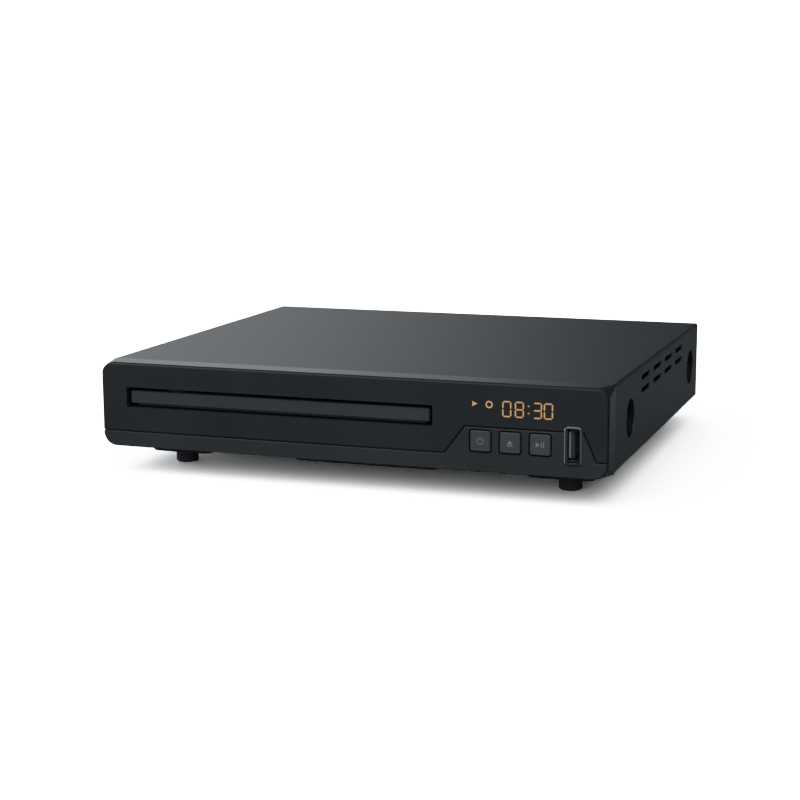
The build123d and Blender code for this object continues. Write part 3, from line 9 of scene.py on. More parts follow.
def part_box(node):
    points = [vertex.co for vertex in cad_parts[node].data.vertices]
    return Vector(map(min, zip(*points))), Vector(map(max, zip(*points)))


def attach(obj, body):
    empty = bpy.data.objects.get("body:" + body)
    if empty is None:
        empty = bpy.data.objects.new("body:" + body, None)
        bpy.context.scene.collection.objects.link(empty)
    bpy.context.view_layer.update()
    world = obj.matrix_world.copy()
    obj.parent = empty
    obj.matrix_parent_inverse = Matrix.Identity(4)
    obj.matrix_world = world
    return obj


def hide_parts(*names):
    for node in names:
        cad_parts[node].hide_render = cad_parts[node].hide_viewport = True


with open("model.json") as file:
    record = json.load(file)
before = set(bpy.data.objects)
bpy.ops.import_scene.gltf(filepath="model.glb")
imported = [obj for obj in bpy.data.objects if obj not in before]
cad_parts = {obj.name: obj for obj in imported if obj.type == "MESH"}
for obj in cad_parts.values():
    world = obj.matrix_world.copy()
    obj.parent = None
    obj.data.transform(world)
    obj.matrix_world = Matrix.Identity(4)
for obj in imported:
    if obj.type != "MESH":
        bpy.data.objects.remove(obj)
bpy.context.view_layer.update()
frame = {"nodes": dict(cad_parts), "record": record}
mm = 0.001
scene = bpy.context.scene
nodes = frame["nodes"]
slotOf = {part["node"]: part["material_slot"] for part in frame["record"]["subparts"]}
print("frame loaded:", len(nodes), "nodes")


# camera, floor and light

viewPoint = {
    "place": (0.26031, -0.76535, 0.16978),
    "turn": 19.5175,      # degrees round Z
    "dip": 10.438,        # degrees below the horizon
    "roll": -0.2814,
    "lens": 78.55,
    "sensor": 36.0,
    "reach": 200.0,       # metres
}


def makeCamera(view):
    data = bpy.data.cameras.new("camera")
    data.lens = view["lens"]
    data.sensor_width = view["sensor"]
    data.clip_end = view["reach"]
    camera = bpy.data.objects.new("camera", data)
    scene.collection.objects.link(camera)
    turn = Matrix.Rotation(math.radians(view["turn"]), 4, "Z")
    dip = Matrix.Rotation(math.radians(90 - view["dip"]), 4, "X")
    roll = Matrix.Rotation(math.radians(view["roll"]), 4, "Z")
    camera.matrix_world = Matrix.Translation(view["place"]) @ turn @ dip @ roll
    scene.camera = camera


studio = {
    "floorHalf": 60.0,
    "floorSeen": (2.75, 2.75, 2.75, 1.0),       # burnt out to white, as on a lit table
    "floorBounce": (0.6, 0.6, 0.6, 1.0),        # the light it gives back
    "floorMirror": (0.14, 0.155, 0.168, 1.0),   # what glossy faces see of it
    "skyTint": (0.9, 0.96, 1.0, 1.0),
    "skyLeft": 0.82,                            # brightness on the left and on the right
    "skyRight": 0.05,
    "skyTurn": (-0.4, -0.2),                    # where it changes, along X
    "skySeen": 2.5,                             # the white that the camera sees behind
    "whiteLevel": 2.2,                          # what prints as white, with a soft shoulder below it
    "shoulder": ((0.35, 0.35), (0.7, 0.63), (1.0, 0.8), (1.5, 0.94)),
    "sunStrength": 3.0,
    "sunSpread": 84.0,                          # degrees, wide for a soft shadow
    "sunFrom": (0.06, -0.9, 1.0),
    "cardPlace": (-1.25, 1.0, 0.45),            # soft box behind the left side
    "cardAim": (-0.05, -0.02, 0.05),
    "cardSize": (0.8, 0.8),
    "cardPower": 3.4,
}


def makeFloor():
    bm = bmesh.new()
    bmesh.ops.create_grid(bm, x_segments=1, y_segments=1, size=studio["floorHalf"])
    mesh = bpy.data.meshes.new("floor")
    bm.to_mesh(mesh)
    bm.free()
    material, tree = startMaterial("floorPaper")[:2]
    path = addNode(tree, "LightPath")
    given = addNode(tree, "MixRGB", {"Fac": path.outputs["Is Glossy Ray"], "Color1": studio["floorBounce"],
                                     "Color2": studio["floorMirror"]})
    shown = addNode(tree, "MixRGB", {"Fac": path.outputs["Is Camera Ray"], "Color1": given.outputs["Color"],
                                     "Color2": studio["floorSeen"]})
    paper = addNode(tree, "BsdfDiffuse", {"Color": shown.outputs["Color"]})
    clear = addNode(tree, "BsdfTransparent")
    below = addNode(tree, "NewGeometry").outputs["Backfacing"]     # open from below, for a look at the feet
    mix = addNode(tree, "MixShader", {0: below, 1: paper.outputs["BSDF"], 2: clear.outputs["BSDF"]})
    feed(tree, tree.nodes["Material Output"].inputs["Surface"], mix.outputs["Shader"])
    mesh.materials.append(material)
    floor = bpy.data.objects.new("floor", mesh)
    scene.collection.objects.link(floor)


def aimed(place, target):
    return (Vector(target) - Vector(place)).to_track_quat("-Z", "Y").to_matrix().to_4x4()


def makeLights():
    sunData = bpy.data.lights.new("sun", "SUN")
    sunData.energy = studio["sunStrength"]
    sunData.angle = math.radians(studio["sunSpread"])
    sun = bpy.data.objects.new("sun", sunData)
    sun.matrix_world = aimed(studio["sunFrom"], (0, 0, 0))
    scene.collection.objects.link(sun)
    cardData = bpy.data.lights.new("card", "AREA")
    cardData.shape = "RECTANGLE"
    cardData.size, cardData.size_y = studio["cardSize"]
    cardData.energy = studio["cardPower"]
    card = bpy.data.objects.new("card", cardData)
    place = studio["cardPlace"]
    card.matrix_world = Matrix.Translation(place) @ aimed(place, studio["cardAim"])
    scene.collection.objects.link(card)


def makeSky():
    # the backdrop is white, the light it gives is dimmer
    world = bpy.data.worlds.new("studio")
    world.use_nodes = True
    tree = world.node_tree
    tree.nodes.clear()
    seen = addNode(tree, "Background", {"Color": (1.0, 1.0, 1.0, 1.0), "Strength": studio["skySeen"]})
    spot = addNode(tree, "TexCoord").outputs["Generated"]
    across = addNode(tree, "SeparateXYZ", {"Vector": spot}).outputs["X"]
    strength = spread(tree, across, studio["skyLeft"], studio["skyRight"], *studio["skyTurn"])
    given = addNode(tree, "Background", {"Color": studio["skyTint"], "Strength": strength})
    path = addNode(tree, "LightPath")
    mix = addNode(tree, "MixShader", {0: path.outputs["Is Camera Ray"], 1: given.outputs["Background"],
                                      2: seen.outputs["Background"]})
    addNode(tree, "OutputWorld", {"Surface": mix.outputs["Shader"]})
    scene.world = world


def setShoulder():
    # pale tones roll off softly, dark ones stay as they are
    view = scene.view_settings
    view.view_transform = "Standard"
    view.use_curve_mapping = True
    mapping = view.curve_mapping
    mapping.white_level = [studio["whiteLevel"]] * 3
    points = mapping.curves[3].points      # the curve for all three colours
    for level, shown in studio["shoulder"]:
        points.new(level / studio["whiteLevel"], shown)
    for point in points[:2]:
        point.handle_type = "VECTOR"
    mapping.update()


# node helpers

def feed(tree, socket, value):
    if isinstance(value, bpy.types.NodeSocket):
        tree.links.new(value, socket)
    else:
        socket.default_value = value


def addNode(tree, kind, inputs=None, **settings):
    node = tree.nodes.new("ShaderNode" + kind)
    for key, value in settings.items():
        setattr(node, key, value)
    for key, value in (inputs or {}).items():
        feed(tree, node.inputs[key], value)
    return node


def startMaterial(name):
    material = bpy.data.materials.new(name)
    material.use_nodes = True
    tree = material.node_tree
    return material, tree, tree.nodes["Principled BSDF"]


def objectSpot(tree):
    return addNode(tree, "TexCoord").outputs["Object"]


def noise(tree, spot, scale, detail=3.0, rough=0.55):
    node = addNode(tree, "TexNoise", {"Vector": spot, "Scale": scale, "Detail": detail, "Roughness": rough})
    return node.outputs["Fac"]


def cells(tree, spot, scale, rank="F1", metric="EUCLIDEAN"):
    return addNode(tree, "TexVoronoi", {"Vector": spot, "Scale": scale}, feature=rank, distance=metric)


def maths(tree, operation, *values):
    return addNode(tree, "Math", dict(enumerate(values)), operation=operation).outputs["Value"]


def axes(tree, vector):
    return addNode(tree, "SeparateXYZ", {"Vector": vector}).outputs


def mixed(tree, share, first, second):
    return addNode(tree, "MixRGB", {"Fac": share, "Color1": first, "Color2": second}).outputs["Color"]


def opaque(colour):
    return (*colour, 1.0)


def ramp(tree, value, stops):
    node = addNode(tree, "ValToRGB", {"Fac": value})
    elements = node.color_ramp.elements
    while len(elements) < len(stops):
        elements.new(0.5)
    for element, (place, colour) in zip(elements, stops):
        element.position = place
        element.color = opaque(colour)
    return node.outputs["Color"]


def tones(tree, value, look, fromLow=0.3, fromHigh=0.7):
    return ramp(tree, value, [(fromLow, look["dark"]), (fromHigh, look["light"])])


def spread(tree, value, low, high, fromLow=0.3, fromHigh=0.7):
    node = addNode(tree, "MapRange", {"Value": value, "From Min": fromLow, "From Max": fromHigh,
                                      "To Min": low, "To Max": high})
    return node.outputs["Result"]


def bump(tree, height, look):
    node = addNode(tree, "Bump", {"Height": height, "Strength": look["bump"],
                                  "Distance": look["depth"] * mm})
    return node.outputs["Normal"]


# finishes: scales are per metre, depths of bumps in mm, and a look's own values come before the usual ones

plasticUsual = {
    "cloudScale": 28.0,
    "grainScale": 3200.0,
    "grainDetail": 4.0,
    "bump": 0.12,
    "depth": 0.04,
    "specular": 0.35,
}


def mouldedPlastic(name, look):
    # fine spark-eroded grain with slow changes of shade
    look = {**plasticUsual, **look}
    material, tree, shader = startMaterial(name)
    spot = objectSpot(tree)
    cloud = noise(tree, spot, look["cloudScale"])
    grain = noise(tree, spot, look["grainScale"], look["grainDetail"])
    feed(tree, shader.inputs["Base Color"], tones(tree, cloud, look))
    feed(tree, shader.inputs["Roughness"], spread(tree, cloud, *look["rough"]))
    feed(tree, shader.inputs["Normal"], bump(tree, grain, look))
    shader.inputs["Specular IOR Level"].default_value = look["specular"]
    return material


paintUsual = {
    "cloudScale": 22.0,
    "peelScale": 1100.0,
    "peelDetail": 2.0,
    "gritScale": 5200.0,
    "bump": 0.2,
    "depth": 0.05,
    "specular": 0.4,
}


def paintedSteel(name, look):
    # powder coat: orange peel under a fine grit
    look = {**paintUsual, **look}
    material, tree, shader = startMaterial(name)
    spot = objectSpot(tree)
    cloud = noise(tree, spot, look["cloudScale"])
    peel = noise(tree, spot, look["peelScale"], look["peelDetail"])
    grit = noise(tree, spot, look["gritScale"])
    feed(tree, shader.inputs["Base Color"], tones(tree, cloud, look))
    feed(tree, shader.inputs["Roughness"], spread(tree, grit, *look["rough"]))
    feed(tree, shader.inputs["Normal"], bump(tree, maths(tree, "ADD", peel, grit), look))
    shader.inputs["Specular IOR Level"].default_value = look["specular"]
    return material


zincUsual = {
    "spangle": 260.0,
    "lineScale": (30.0, 1800.0, 900.0),      # rolling lines run along X
    "lineDetail": 4.0,
    "bump": 0.08,
    "depth": 0.03,
}


def platedSteel(name, look):
    # zinc spangle with rolling lines
    look = {**zincUsual, **look}
    material, tree, shader = startMaterial(name)
    spot = objectSpot(tree)
    spangle = cells(tree, spot, look["spangle"]).outputs["Color"]
    tone = addNode(tree, "SeparateColor", {"Color": spangle}).outputs["Red"]
    stretched = addNode(tree, "Mapping", {"Vector": spot, "Scale": look["lineScale"]}).outputs["Vector"]
    lines = noise(tree, stretched, 1.0, look["lineDetail"])
    feed(tree, shader.inputs["Base Color"], tones(tree, tone, look, 0.0, 1.0))
    feed(tree, shader.inputs["Roughness"], spread(tree, lines, *look["rough"]))
    feed(tree, shader.inputs["Normal"], bump(tree, lines, look))
    shader.inputs["Metallic"].default_value = 1.0
    return material


polishUsual = {
    "smearScale": 240.0,
    "smearDetail": 4.0,
}


def polishedMetal(name, look):
    # bright plating with faint smears
    look = {**polishUsual, **look}
    material, tree, shader = startMaterial(name)
    smear = noise(tree, objectSpot(tree), look["smearScale"], look["smearDetail"])
    feed(tree, shader.inputs["Base Color"], tones(tree, smear, look))
    feed(tree, shader.inputs["Roughness"], spread(tree, smear, *look["rough"]))
    shader.inputs["Metallic"].default_value = 1.0
    return material


sideSheenUsual = {
    "smearScale": 600.0,
    "smearDetail": 4.0,
}


def sideSheenPainted(name, look):
    # dark, with a painted highlight on what faces left and right, fading as painted shade towards the
    # piece's right end
    look = {**sideSheenUsual, **look}
    material, tree, shader = startMaterial(name)
    place = addNode(tree, "TexCoord").outputs
    facing = axes(tree, place["Normal"])
    sideways = maths(tree, "ABSOLUTE", facing["X"])
    upright = maths(tree, "ABSOLUTE", facing["Z"])
    # share of painted highlight, taken from which way each face looks
    sheenShare = spread(tree, maths(tree, "SUBTRACT", sideways, upright), 0.0, 1.0, *look["turn"])
    low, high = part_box(look["node"])
    # painted shade: the highlight dims towards the piece's right end
    fade = spread(tree, axes(tree, place["Object"])["X"], 0.0, 1.0, low.x, high.x)
    pale = ramp(tree, fade, [(0.0, look["light"]), (1.0, look["far"])])
    smear = noise(tree, place["Object"], look["smearScale"], look["smearDetail"])
    feed(tree, shader.inputs["Base Color"], mixed(tree, sheenShare, opaque(look["dark"]), pale))
    feed(tree, shader.inputs["Roughness"], spread(tree, smear, *look["rough"]))
    shader.inputs["Metallic"].default_value = look["metal"]
    return material


rubberUsual = {
    "dustScale": 700.0,
    "dustDetail": 5.0,
    "dustSpan": (0.35, 0.75),
    "bump": 0.25,
    "depth": 0.06,
    "specular": 0.25,
}


def rubber(name, look):
    # dull, with a fine dusty grain
    look = {**rubberUsual, **look}
    material, tree, shader = startMaterial(name)
    dust = noise(tree, objectSpot(tree), look["dustScale"], look["dustDetail"])
    feed(tree, shader.inputs["Base Color"], tones(tree, dust, look, *look["dustSpan"]))
    feed(tree, shader.inputs["Roughness"], spread(tree, dust, *look["rough"]))
    feed(tree, shader.inputs["Normal"], bump(tree, dust, look))
    shader.inputs["Specular IOR Level"].default_value = look["specular"]
    return material


boardUsual = {
    "runScale": 330.0,
    "runEdge": (0.12, 0.18),      # where copper gives way to mask
    "padScale": 420.0,
    "padEdge": (0.1, 0.13),       # where solder gives way to the rest
    "rough": (0.45, 0.3),
    "roughEdge": (0.08, 0.2),
    "bump": 0.2,
    "depth": 0.04,
}


def circuitBoard(name, look):
    # solder mask over copper runs, which turn by 45 degrees, with tinned pads
    look = {**boardUsual, **look}
    material, tree, shader = startMaterial(name)
    spot = objectSpot(tree)
    near = cells(tree, spot, look["runScale"], "F1", "MANHATTAN").outputs["Distance"]
    far = cells(tree, spot, look["runScale"], "F2", "MANHATTAN").outputs["Distance"]
    runs = maths(tree, "SUBTRACT", far, near)
    copper = ramp(tree, runs, list(zip(look["runEdge"], (look["light"], look["dark"]))))
    pads = cells(tree, spot, look["padScale"]).outputs["Distance"]
    solder = spread(tree, pads, 1.0, 0.0, *look["padEdge"])
    feed(tree, shader.inputs["Base Color"], mixed(tree, solder, copper, opaque(look["solder"])))
    feed(tree, shader.inputs["Roughness"], spread(tree, runs, *look["rough"], *look["roughEdge"]))
    feed(tree, shader.inputs["Normal"], bump(tree, runs, look))
    return material


litUsual = {
    "flickerScale": 900.0,
    "rough": 0.5,
}


def litMark(name, look):
    # a lit sign, slightly uneven
    look = {**litUsual, **look}
    material, tree, shader = startMaterial(name)
    glow = tones(tree, noise(tree, objectSpot(tree), look["flickerScale"]), look)
    feed(tree, shader.inputs["Base Color"], glow)
    feed(tree, shader.inputs["Emission Color"], glow)
    shader.inputs["Emission Strength"].default_value = look["glow"]
    shader.inputs["Roughness"].default_value = look["rough"]
    return material


finishes = {
    "panel_black": mouldedPlastic("panelBlack", {
        "dark": (0.0088, 0.0104, 0.0118), "light": (0.0108, 0.0127, 0.0144), "rough": (0.25, 0.3),
        "specular": 0.4}),
    "fascia_smoke": mouldedPlastic("fasciaSmoke", {
        "dark": (0.01043, 0.01228, 0.01387), "light": (0.01201, 0.01412, 0.01596), "rough": (0.38, 0.46),
        "specular": 0.2, "bump": 0.08}),
    "trim_charcoal": mouldedPlastic("trimCharcoal", {
        "dark": (0.01423, 0.01674, 0.01892), "light": (0.01637, 0.01926, 0.02176), "rough": (0.4, 0.5),
        "specular": 0.22, "bump": 0.1}),
    "button_grey": mouldedPlastic("buttonGrey", {
        "dark": (0.0313, 0.0368, 0.0416), "light": (0.036, 0.0423, 0.0478), "rough": (0.42, 0.52),
        "specular": 0.25}),
    "door_grey": mouldedPlastic("doorGrey", {
        "dark": (0.02174, 0.02558, 0.0289), "light": (0.02501, 0.02943, 0.03325), "rough": (0.4, 0.48),
        "specular": 0.25}),
    "cover_steel": paintedSteel("coverSteel", {
        "dark": (0.01186, 0.01395, 0.01576), "light": (0.01449, 0.01705, 0.01927), "rough": (0.37, 0.43)}),
    "bare_steel": platedSteel("bareSteel", {
        "dark": (0.36, 0.37, 0.38), "light": (0.56, 0.57, 0.58), "rough": (0.3, 0.46)}),
    "rear_paint": paintedSteel("rearPaint", {
        "dark": (0.013, 0.0135, 0.0142), "light": (0.018, 0.0186, 0.0194), "rough": (0.5, 0.6)}),
    # painted highlights: pale on the frame's left and right faces, dimmer towards its right end
    "bezel_chrome": sideSheenPainted("bezelChrome", {
        "node": "usb_bezel", "metal": 1.0, "rough": (0.12, 0.2), "turn": (0.08, 0.3),
        "dark": (0.075, 0.078, 0.081), "light": (0.92, 0.93, 0.94), "far": (0.34, 0.347, 0.354)}),
    "foot_rubber": rubber("footRubber", {
        "dark": (0.026, 0.0285, 0.031), "light": (0.042, 0.0455, 0.049), "rough": (0.6, 0.76)}),
    "black_plastic": mouldedPlastic("blackPlastic", {
        "dark": (0.012, 0.012, 0.0125), "light": (0.019, 0.019, 0.0195), "rough": (0.4, 0.52)}),
    "white_plastic": mouldedPlastic("whitePlastic", {
        "dark": (0.62, 0.61, 0.57), "light": (0.72, 0.71, 0.67), "rough": (0.36, 0.46)}),
    "socket_metal": polishedMetal("socketMetal", {
        "dark": (0.6, 0.58, 0.54), "light": (0.74, 0.72, 0.67), "rough": (0.16, 0.28)}),
    "board_green": circuitBoard("boardGreen", {
        "dark": (0.012, 0.075, 0.03), "light": (0.03, 0.14, 0.055), "solder": (0.55, 0.55, 0.53)}),
    "sink_metal": platedSteel("sinkMetal", {
        "dark": (0.5, 0.5, 0.51), "light": (0.62, 0.62, 0.63), "rough": (0.38, 0.5), "spangle": 900.0}),
    "brass": polishedMetal("brass", {
        "dark": (0.5, 0.33, 0.1), "light": (0.62, 0.42, 0.15), "rough": (0.22, 0.36)}),
    "magnet_steel": rubber("magnetSteel", {
        "dark": (0.05, 0.05, 0.052), "light": (0.09, 0.09, 0.092), "rough": (0.45, 0.6)}),
}


sleeveUsual = {
    "wrapScale": 500.0,
    "wrapDetail": 4.0,
    "topTurn": (0.85, 0.95),
}


def capSleeve(name, look):
    # shrunk sleeve with a bare aluminium top
    look = {**sleeveUsual, **look}
    material, tree, shader = startMaterial(name)
    place = addNode(tree, "TexCoord").outputs
    bare = spread(tree, axes(tree, place["Normal"])["Z"], 0.0, 1.0, *look["topTurn"])
    wrap = noise(tree, place["Object"], look["wrapScale"], look["wrapDetail"])
    sleeve = tones(tree, wrap, look)
    feed(tree, shader.inputs["Base Color"], mixed(tree, bare, sleeve, opaque(look["top"])))
    feed(tree, shader.inputs["Metallic"], bare)
    feed(tree, shader.inputs["Roughness"], spread(tree, wrap, *look["rough"]))
    return material


ribbonUsual = {
    "scale": 160.0,
    "wireSpan": (0.35, 0.65),
    "bump": 0.4,
    "depth": 0.2,
    "rough": 0.4,
}


def ribbonFlat(name, look):
    # wires side by side under a clear film
    look = {**ribbonUsual, **look}
    material, tree, shader = startMaterial(name)
    wave = addNode(tree, "TexWave", {"Vector": objectSpot(tree), "Scale": look["scale"], "Distortion": 0.0},
                   bands_direction="X")
    wires = wave.outputs["Fac"]
    feed(tree, shader.inputs["Base Color"], tones(tree, wires, look, *look["wireSpan"]))
    feed(tree, shader.inputs["Normal"], bump(tree, wires, look))
    shader.inputs["Roughness"].default_value = look["rough"]
    return material


phonoUsual = {
    "flowScale": 900.0,
    "shade": (0.88, 1.05),
}


def phonoColours(name, look):
    # one colour for each socket, told apart by its place
    look = {**phonoUsual, **look}
    material, tree, shader = startMaterial(name)
    low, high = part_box("socket_inserts")
    spot = objectSpot(tree)
    place = axes(tree, spot)
    right = maths(tree, "GREATER_THAN", place["X"], (low.x + high.x) / 2)
    upper = maths(tree, "GREATER_THAN", place["Z"], (low.z + high.z) / 2)
    rows = []
    for row in ("lower", "upper"):
        near, far = look[row]
        rows.append(mixed(tree, right, opaque(near), opaque(far)))
    flow = noise(tree, spot, look["flowScale"])
    shade = addNode(tree, "HueSaturation", {"Color": mixed(tree, upper, *rows),
                                            "Value": spread(tree, flow, *look["shade"])})
    feed(tree, shader.inputs["Base Color"], shade.outputs["Color"])
    feed(tree, shader.inputs["Roughness"], spread(tree, flow, *look["rough"]))
    return material


# pieces whose finish differs from the rest of their slot
ownFinish = {
    # painted shade: the port's steel shell kept almost black, as it lies in shade inside the port
    "usb_shell": platedSteel("shellShadeDark", {
        "dark": (0.06, 0.062, 0.064), "light": (0.1, 0.102, 0.105), "rough": (0.35, 0.5),
        "spangle": 1800.0}),
    # painted shade: the tongue's front and ends dark and its sides pale, by which way each face looks
    "usb_tongue": sideSheenPainted("tongueGrey", {
        "node": "usb_tongue", "metal": 0.0, "rough": (0.35, 0.45), "turn": (0.4, 0.8),
        "dark": (0.013, 0.0135, 0.014), "light": (0.15, 0.155, 0.16), "far": (0.15, 0.155, 0.16)}),
    "socket_inserts": phonoColours("phonoColours", {
        "lower": ((0.6, 0.58, 0.54), (0.42, 0.018, 0.02)),
        "upper": ((0.62, 0.4, 0.02), (0.55, 0.16, 0.015)), "rough": (0.32, 0.42)}),
    "capacitors": capSleeve("capSleeve", {
        "dark": (0.012, 0.014, 0.03), "light": (0.018, 0.02, 0.042), "top": (0.62, 0.62, 0.63),
        "rough": (0.25, 0.4)}),
    "front_ribbon": ribbonFlat("ribbonGrey", {
        "dark": (0.3, 0.31, 0.33), "light": (0.5, 0.51, 0.53)}),
    "transformer_core": rubber("ferrite", {
        "dark": (0.02, 0.02, 0.021), "light": (0.045, 0.044, 0.043), "rough": (0.5, 0.68)}),
    "transformer_bobbin": mouldedPlastic("windingTape", {
        "dark": (0.5, 0.33, 0.03), "light": (0.62, 0.42, 0.06), "rough": (0.25, 0.36)}),
    "display_module": mouldedPlastic("displayGlass", {
        "dark": (0.008, 0.006, 0.006), "light": (0.012, 0.009, 0.008), "rough": (0.08, 0.14),
        "specular": 0.5}),
    "infrared_eye": mouldedPlastic("eyeLens", {
        "dark": (0.01, 0.004, 0.012), "light": (0.016, 0.006, 0.018), "rough": (0.06, 0.12),
        "specular": 0.5}),
    "objective_lens": mouldedPlastic("lensCarrier", {
        "dark": (0.02, 0.03, 0.05), "light": (0.03, 0.045, 0.075), "rough": (0.06, 0.14),
        "specular": 0.6}),
    "pickup": platedSteel("castAlloy", {
        "dark": (0.24, 0.24, 0.25), "light": (0.36, 0.36, 0.37), "rough": (0.42, 0.58),
        "spangle": 1500.0}),
    "decoder_chip": mouldedPlastic("chipEpoxy", {
        "dark": (0.014, 0.014, 0.015), "light": (0.024, 0.024, 0.025), "rough": (0.55, 0.68),
        "grainScale": 6000.0}),
    "turntable": mouldedPlastic("turntableBlack", {
        "dark": (0.014, 0.014, 0.015), "light": (0.02, 0.02, 0.021), "rough": (0.3, 0.4)}),
}
screwBlack = platedSteel("screwBlack", {
    "dark": (0.018, 0.019, 0.02), "light": (0.035, 0.036, 0.038), "rough": (0.34, 0.5), "spangle": 1800.0})

for node, part in nodes.items():
    part.data.materials.clear()
    part.data.materials.append(ownFinish[node] if node in ownFinish else finishes[slotOf[node]])
print("finishes:", len(finishes) + len(ownFinish))


# pieces

def newPiece(name, bm, material, body):
    bmesh.ops.recalc_face_normals(bm, faces=bm.faces)
    mesh = bpy.data.meshes.new(name)
    bm.to_mesh(mesh)
    bm.free()
    mesh.materials.append(material)
    piece = bpy.data.objects.new(name, mesh)
    scene.collection.objects.link(piece)
    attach(piece, body)
    return piece


def addFlat(bm, points, y):
    return bm.faces.new([bm.verts.new((x, y, z)) for x, z in points])


def addBar(bm, x0, x1, z0, z1, y):
    return addFlat(bm, [(x0, z0), (x1, z0), (x1, z1), (x0, z1)], y)


ring = {
    "degrees": 10,         # for each step of a ring
    "fewest": 12,
}


def addRing(bm, centre, inner, outer, degrees, start=0.0):
    turn = Matrix.Rotation(math.radians(start), 3, "Y")
    ends = [bm.verts.new(centre + turn @ Vector((0, 0, r))) for r in (inner, outer)]
    edge = bm.edges.new(ends)
    bmesh.ops.spin(bm, geom=[edge, *ends], cent=centre, axis=(0, 1, 0), angle=math.radians(degrees),
                   steps=max(ring["fewest"], int(degrees / ring["degrees"])), use_merge=degrees == 360)


def thicken(bm, depth):
    # flat signs get a body that reaches back onto what carries them
    grown = bmesh.ops.extrude_face_region(bm, geom=bm.faces[:])
    moved = [g for g in grown["geom"] if isinstance(g, bmesh.types.BMVert)]
    bmesh.ops.translate(bm, verts=moved, vec=(0, depth, 0))


def addBlock(bm, low, high, edge, steps=3):
    made = bmesh.ops.create_cube(bm, size=1.0)["verts"]
    bmesh.ops.scale(bm, vec=Vector(high) - Vector(low), verts=made)
    bmesh.ops.translate(bm, vec=(Vector(high) + Vector(low)) / 2, verts=made)
    edges = list({e for v in made for e in v.link_edges})
    bmesh.ops.bevel(bm, geom=edges, offset=edge * mm, affect="EDGES", segments=steps, profile=0.5,
                    material=-1)


clock = {
    "text": "0830",
    "lefts": (14.3, 19.5, 27.0, 31.5),   # mm from the display's left end
    "width": 4.0,
    "height": 6.8,
    "up": 0.75,                          # mm above the display's lower edge
    "stroke": 0.74,
    "core": 0.34,                        # the bright middle of a stroke
    "gap": 0.16,
    "colon": (25.33, (2.15, 5.05)),      # mm from the left, and the dots' levels
    "colonSize": 0.75,
    "arrow": (1.6, 4.1, 4.4, 6.9),       # mm: left, right, low and high
    "arrowNotch": 0.1,
    "ring": (8.9, 5.6, 1.55, 0.95),      # mm: middle, level, outer and inner radius
    # how far the core draws in at the arrow's slopes and on the ring, times what it does on a stroke
    "arrowInset": 1.6,
    "ringInset": 0.4,
    "proud": 0.03,                       # mm, for each of the two layers
    "halo": {"dark": (0.18, 0.066, 0.01), "light": (0.21, 0.08, 0.014), "glow": 0.55},
    "light": {"dark": (0.36, 0.225, 0.11), "light": (0.42, 0.265, 0.135), "glow": 0.6},
}
segmentsOf = {"0": "abcdef", "8": "abcdefg", "3": "abcdg"}


def segmentEnds(width, height):
    top, middle = height, height / 2
    return {
        "a": ((0, top), (width, top)), "b": ((width, middle), (width, top)),
        "c": ((width, 0), (width, middle)), "d": ((0, 0), (width, 0)),
        "e": ((0, 0), (0, middle)), "f": ((0, middle), (0, top)), "g": ((0, middle), (width, middle)),
    }


def addSegment(bm, start, end, stroke, gap, y):
    # a bar with pointed ends
    a, b = Vector(start), Vector(end)
    along = (b - a).normalized()
    across = Vector((-along.y, along.x)) * stroke / 2
    tipA, tipB = a + along * gap, b - along * gap
    inA, inB = tipA + along * stroke / 2, tipB - along * stroke / 2
    addFlat(bm, [tipA, inA + across, inB + across, tipB, inB - across, inA - across], y)


def onDisplay(origin, x, z):
    return origin.x + x * mm, origin.z + z * mm


def drawDigits(bm, origin, stroke, y):
    shift = clock["stroke"] / 2
    foot = clock["up"] + shift
    ends = segmentEnds(clock["width"] - clock["stroke"], clock["height"] - clock["stroke"])
    for left, sign in zip(clock["lefts"], clock["text"]):
        for key in segmentsOf[sign]:
            start, end = [onDisplay(origin, left + shift + x, foot + z) for x, z in ends[key]]
            addSegment(bm, start, end, stroke * mm, clock["gap"] * mm, y)
    middle, levels = clock["colon"]
    half = clock["colonSize"] * stroke / clock["stroke"] / 2
    for level in levels:
        x0, z0 = onDisplay(origin, middle - half, clock["up"] + level - half)
        x1, z1 = onDisplay(origin, middle + half, clock["up"] + level + half)
        addBar(bm, x0, x1, z0, z1, y)


def drawMarks(bm, origin, stroke, y):
    # the arrow and the ring to the left of the digits
    inset = (clock["stroke"] - stroke) / 2
    left, right, low, high = clock["arrow"]
    slope = clock["arrowInset"] * inset
    x0, z0 = onDisplay(origin, left + inset, low + slope)
    x1, z1 = onDisplay(origin, right - slope, high - slope)
    notch = x0 + (x1 - x0) * clock["arrowNotch"]
    addFlat(bm, [(x0, z0), (x1, (z0 + z1) / 2), (x0, z1), (notch, (z0 + z1) / 2)], y)
    middle, level, outer, inner = clock["ring"]
    x, z = onDisplay(origin, middle, level)
    room = clock["ringInset"] * inset
    addRing(bm, Vector((x, y, z)), (inner + room) * mm, (outer - room) * mm, 360)


def makeClock():
    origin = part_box("display_module")[0]
    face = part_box("fascia_plate")[0].y
    for name, stroke, lift, look in (("clock_halo", clock["stroke"], 1, "halo"),
                                     ("clock_digits", clock["core"], 2, "light")):
        bm = bmesh.new()
        y = face - lift * clock["proud"] * mm
        drawDigits(bm, origin, stroke, y)
        drawMarks(bm, origin, stroke, y)
        thicken(bm, clock["proud"] * mm)
        newPiece(name, bm, litMark(name, clock[look]), "case")


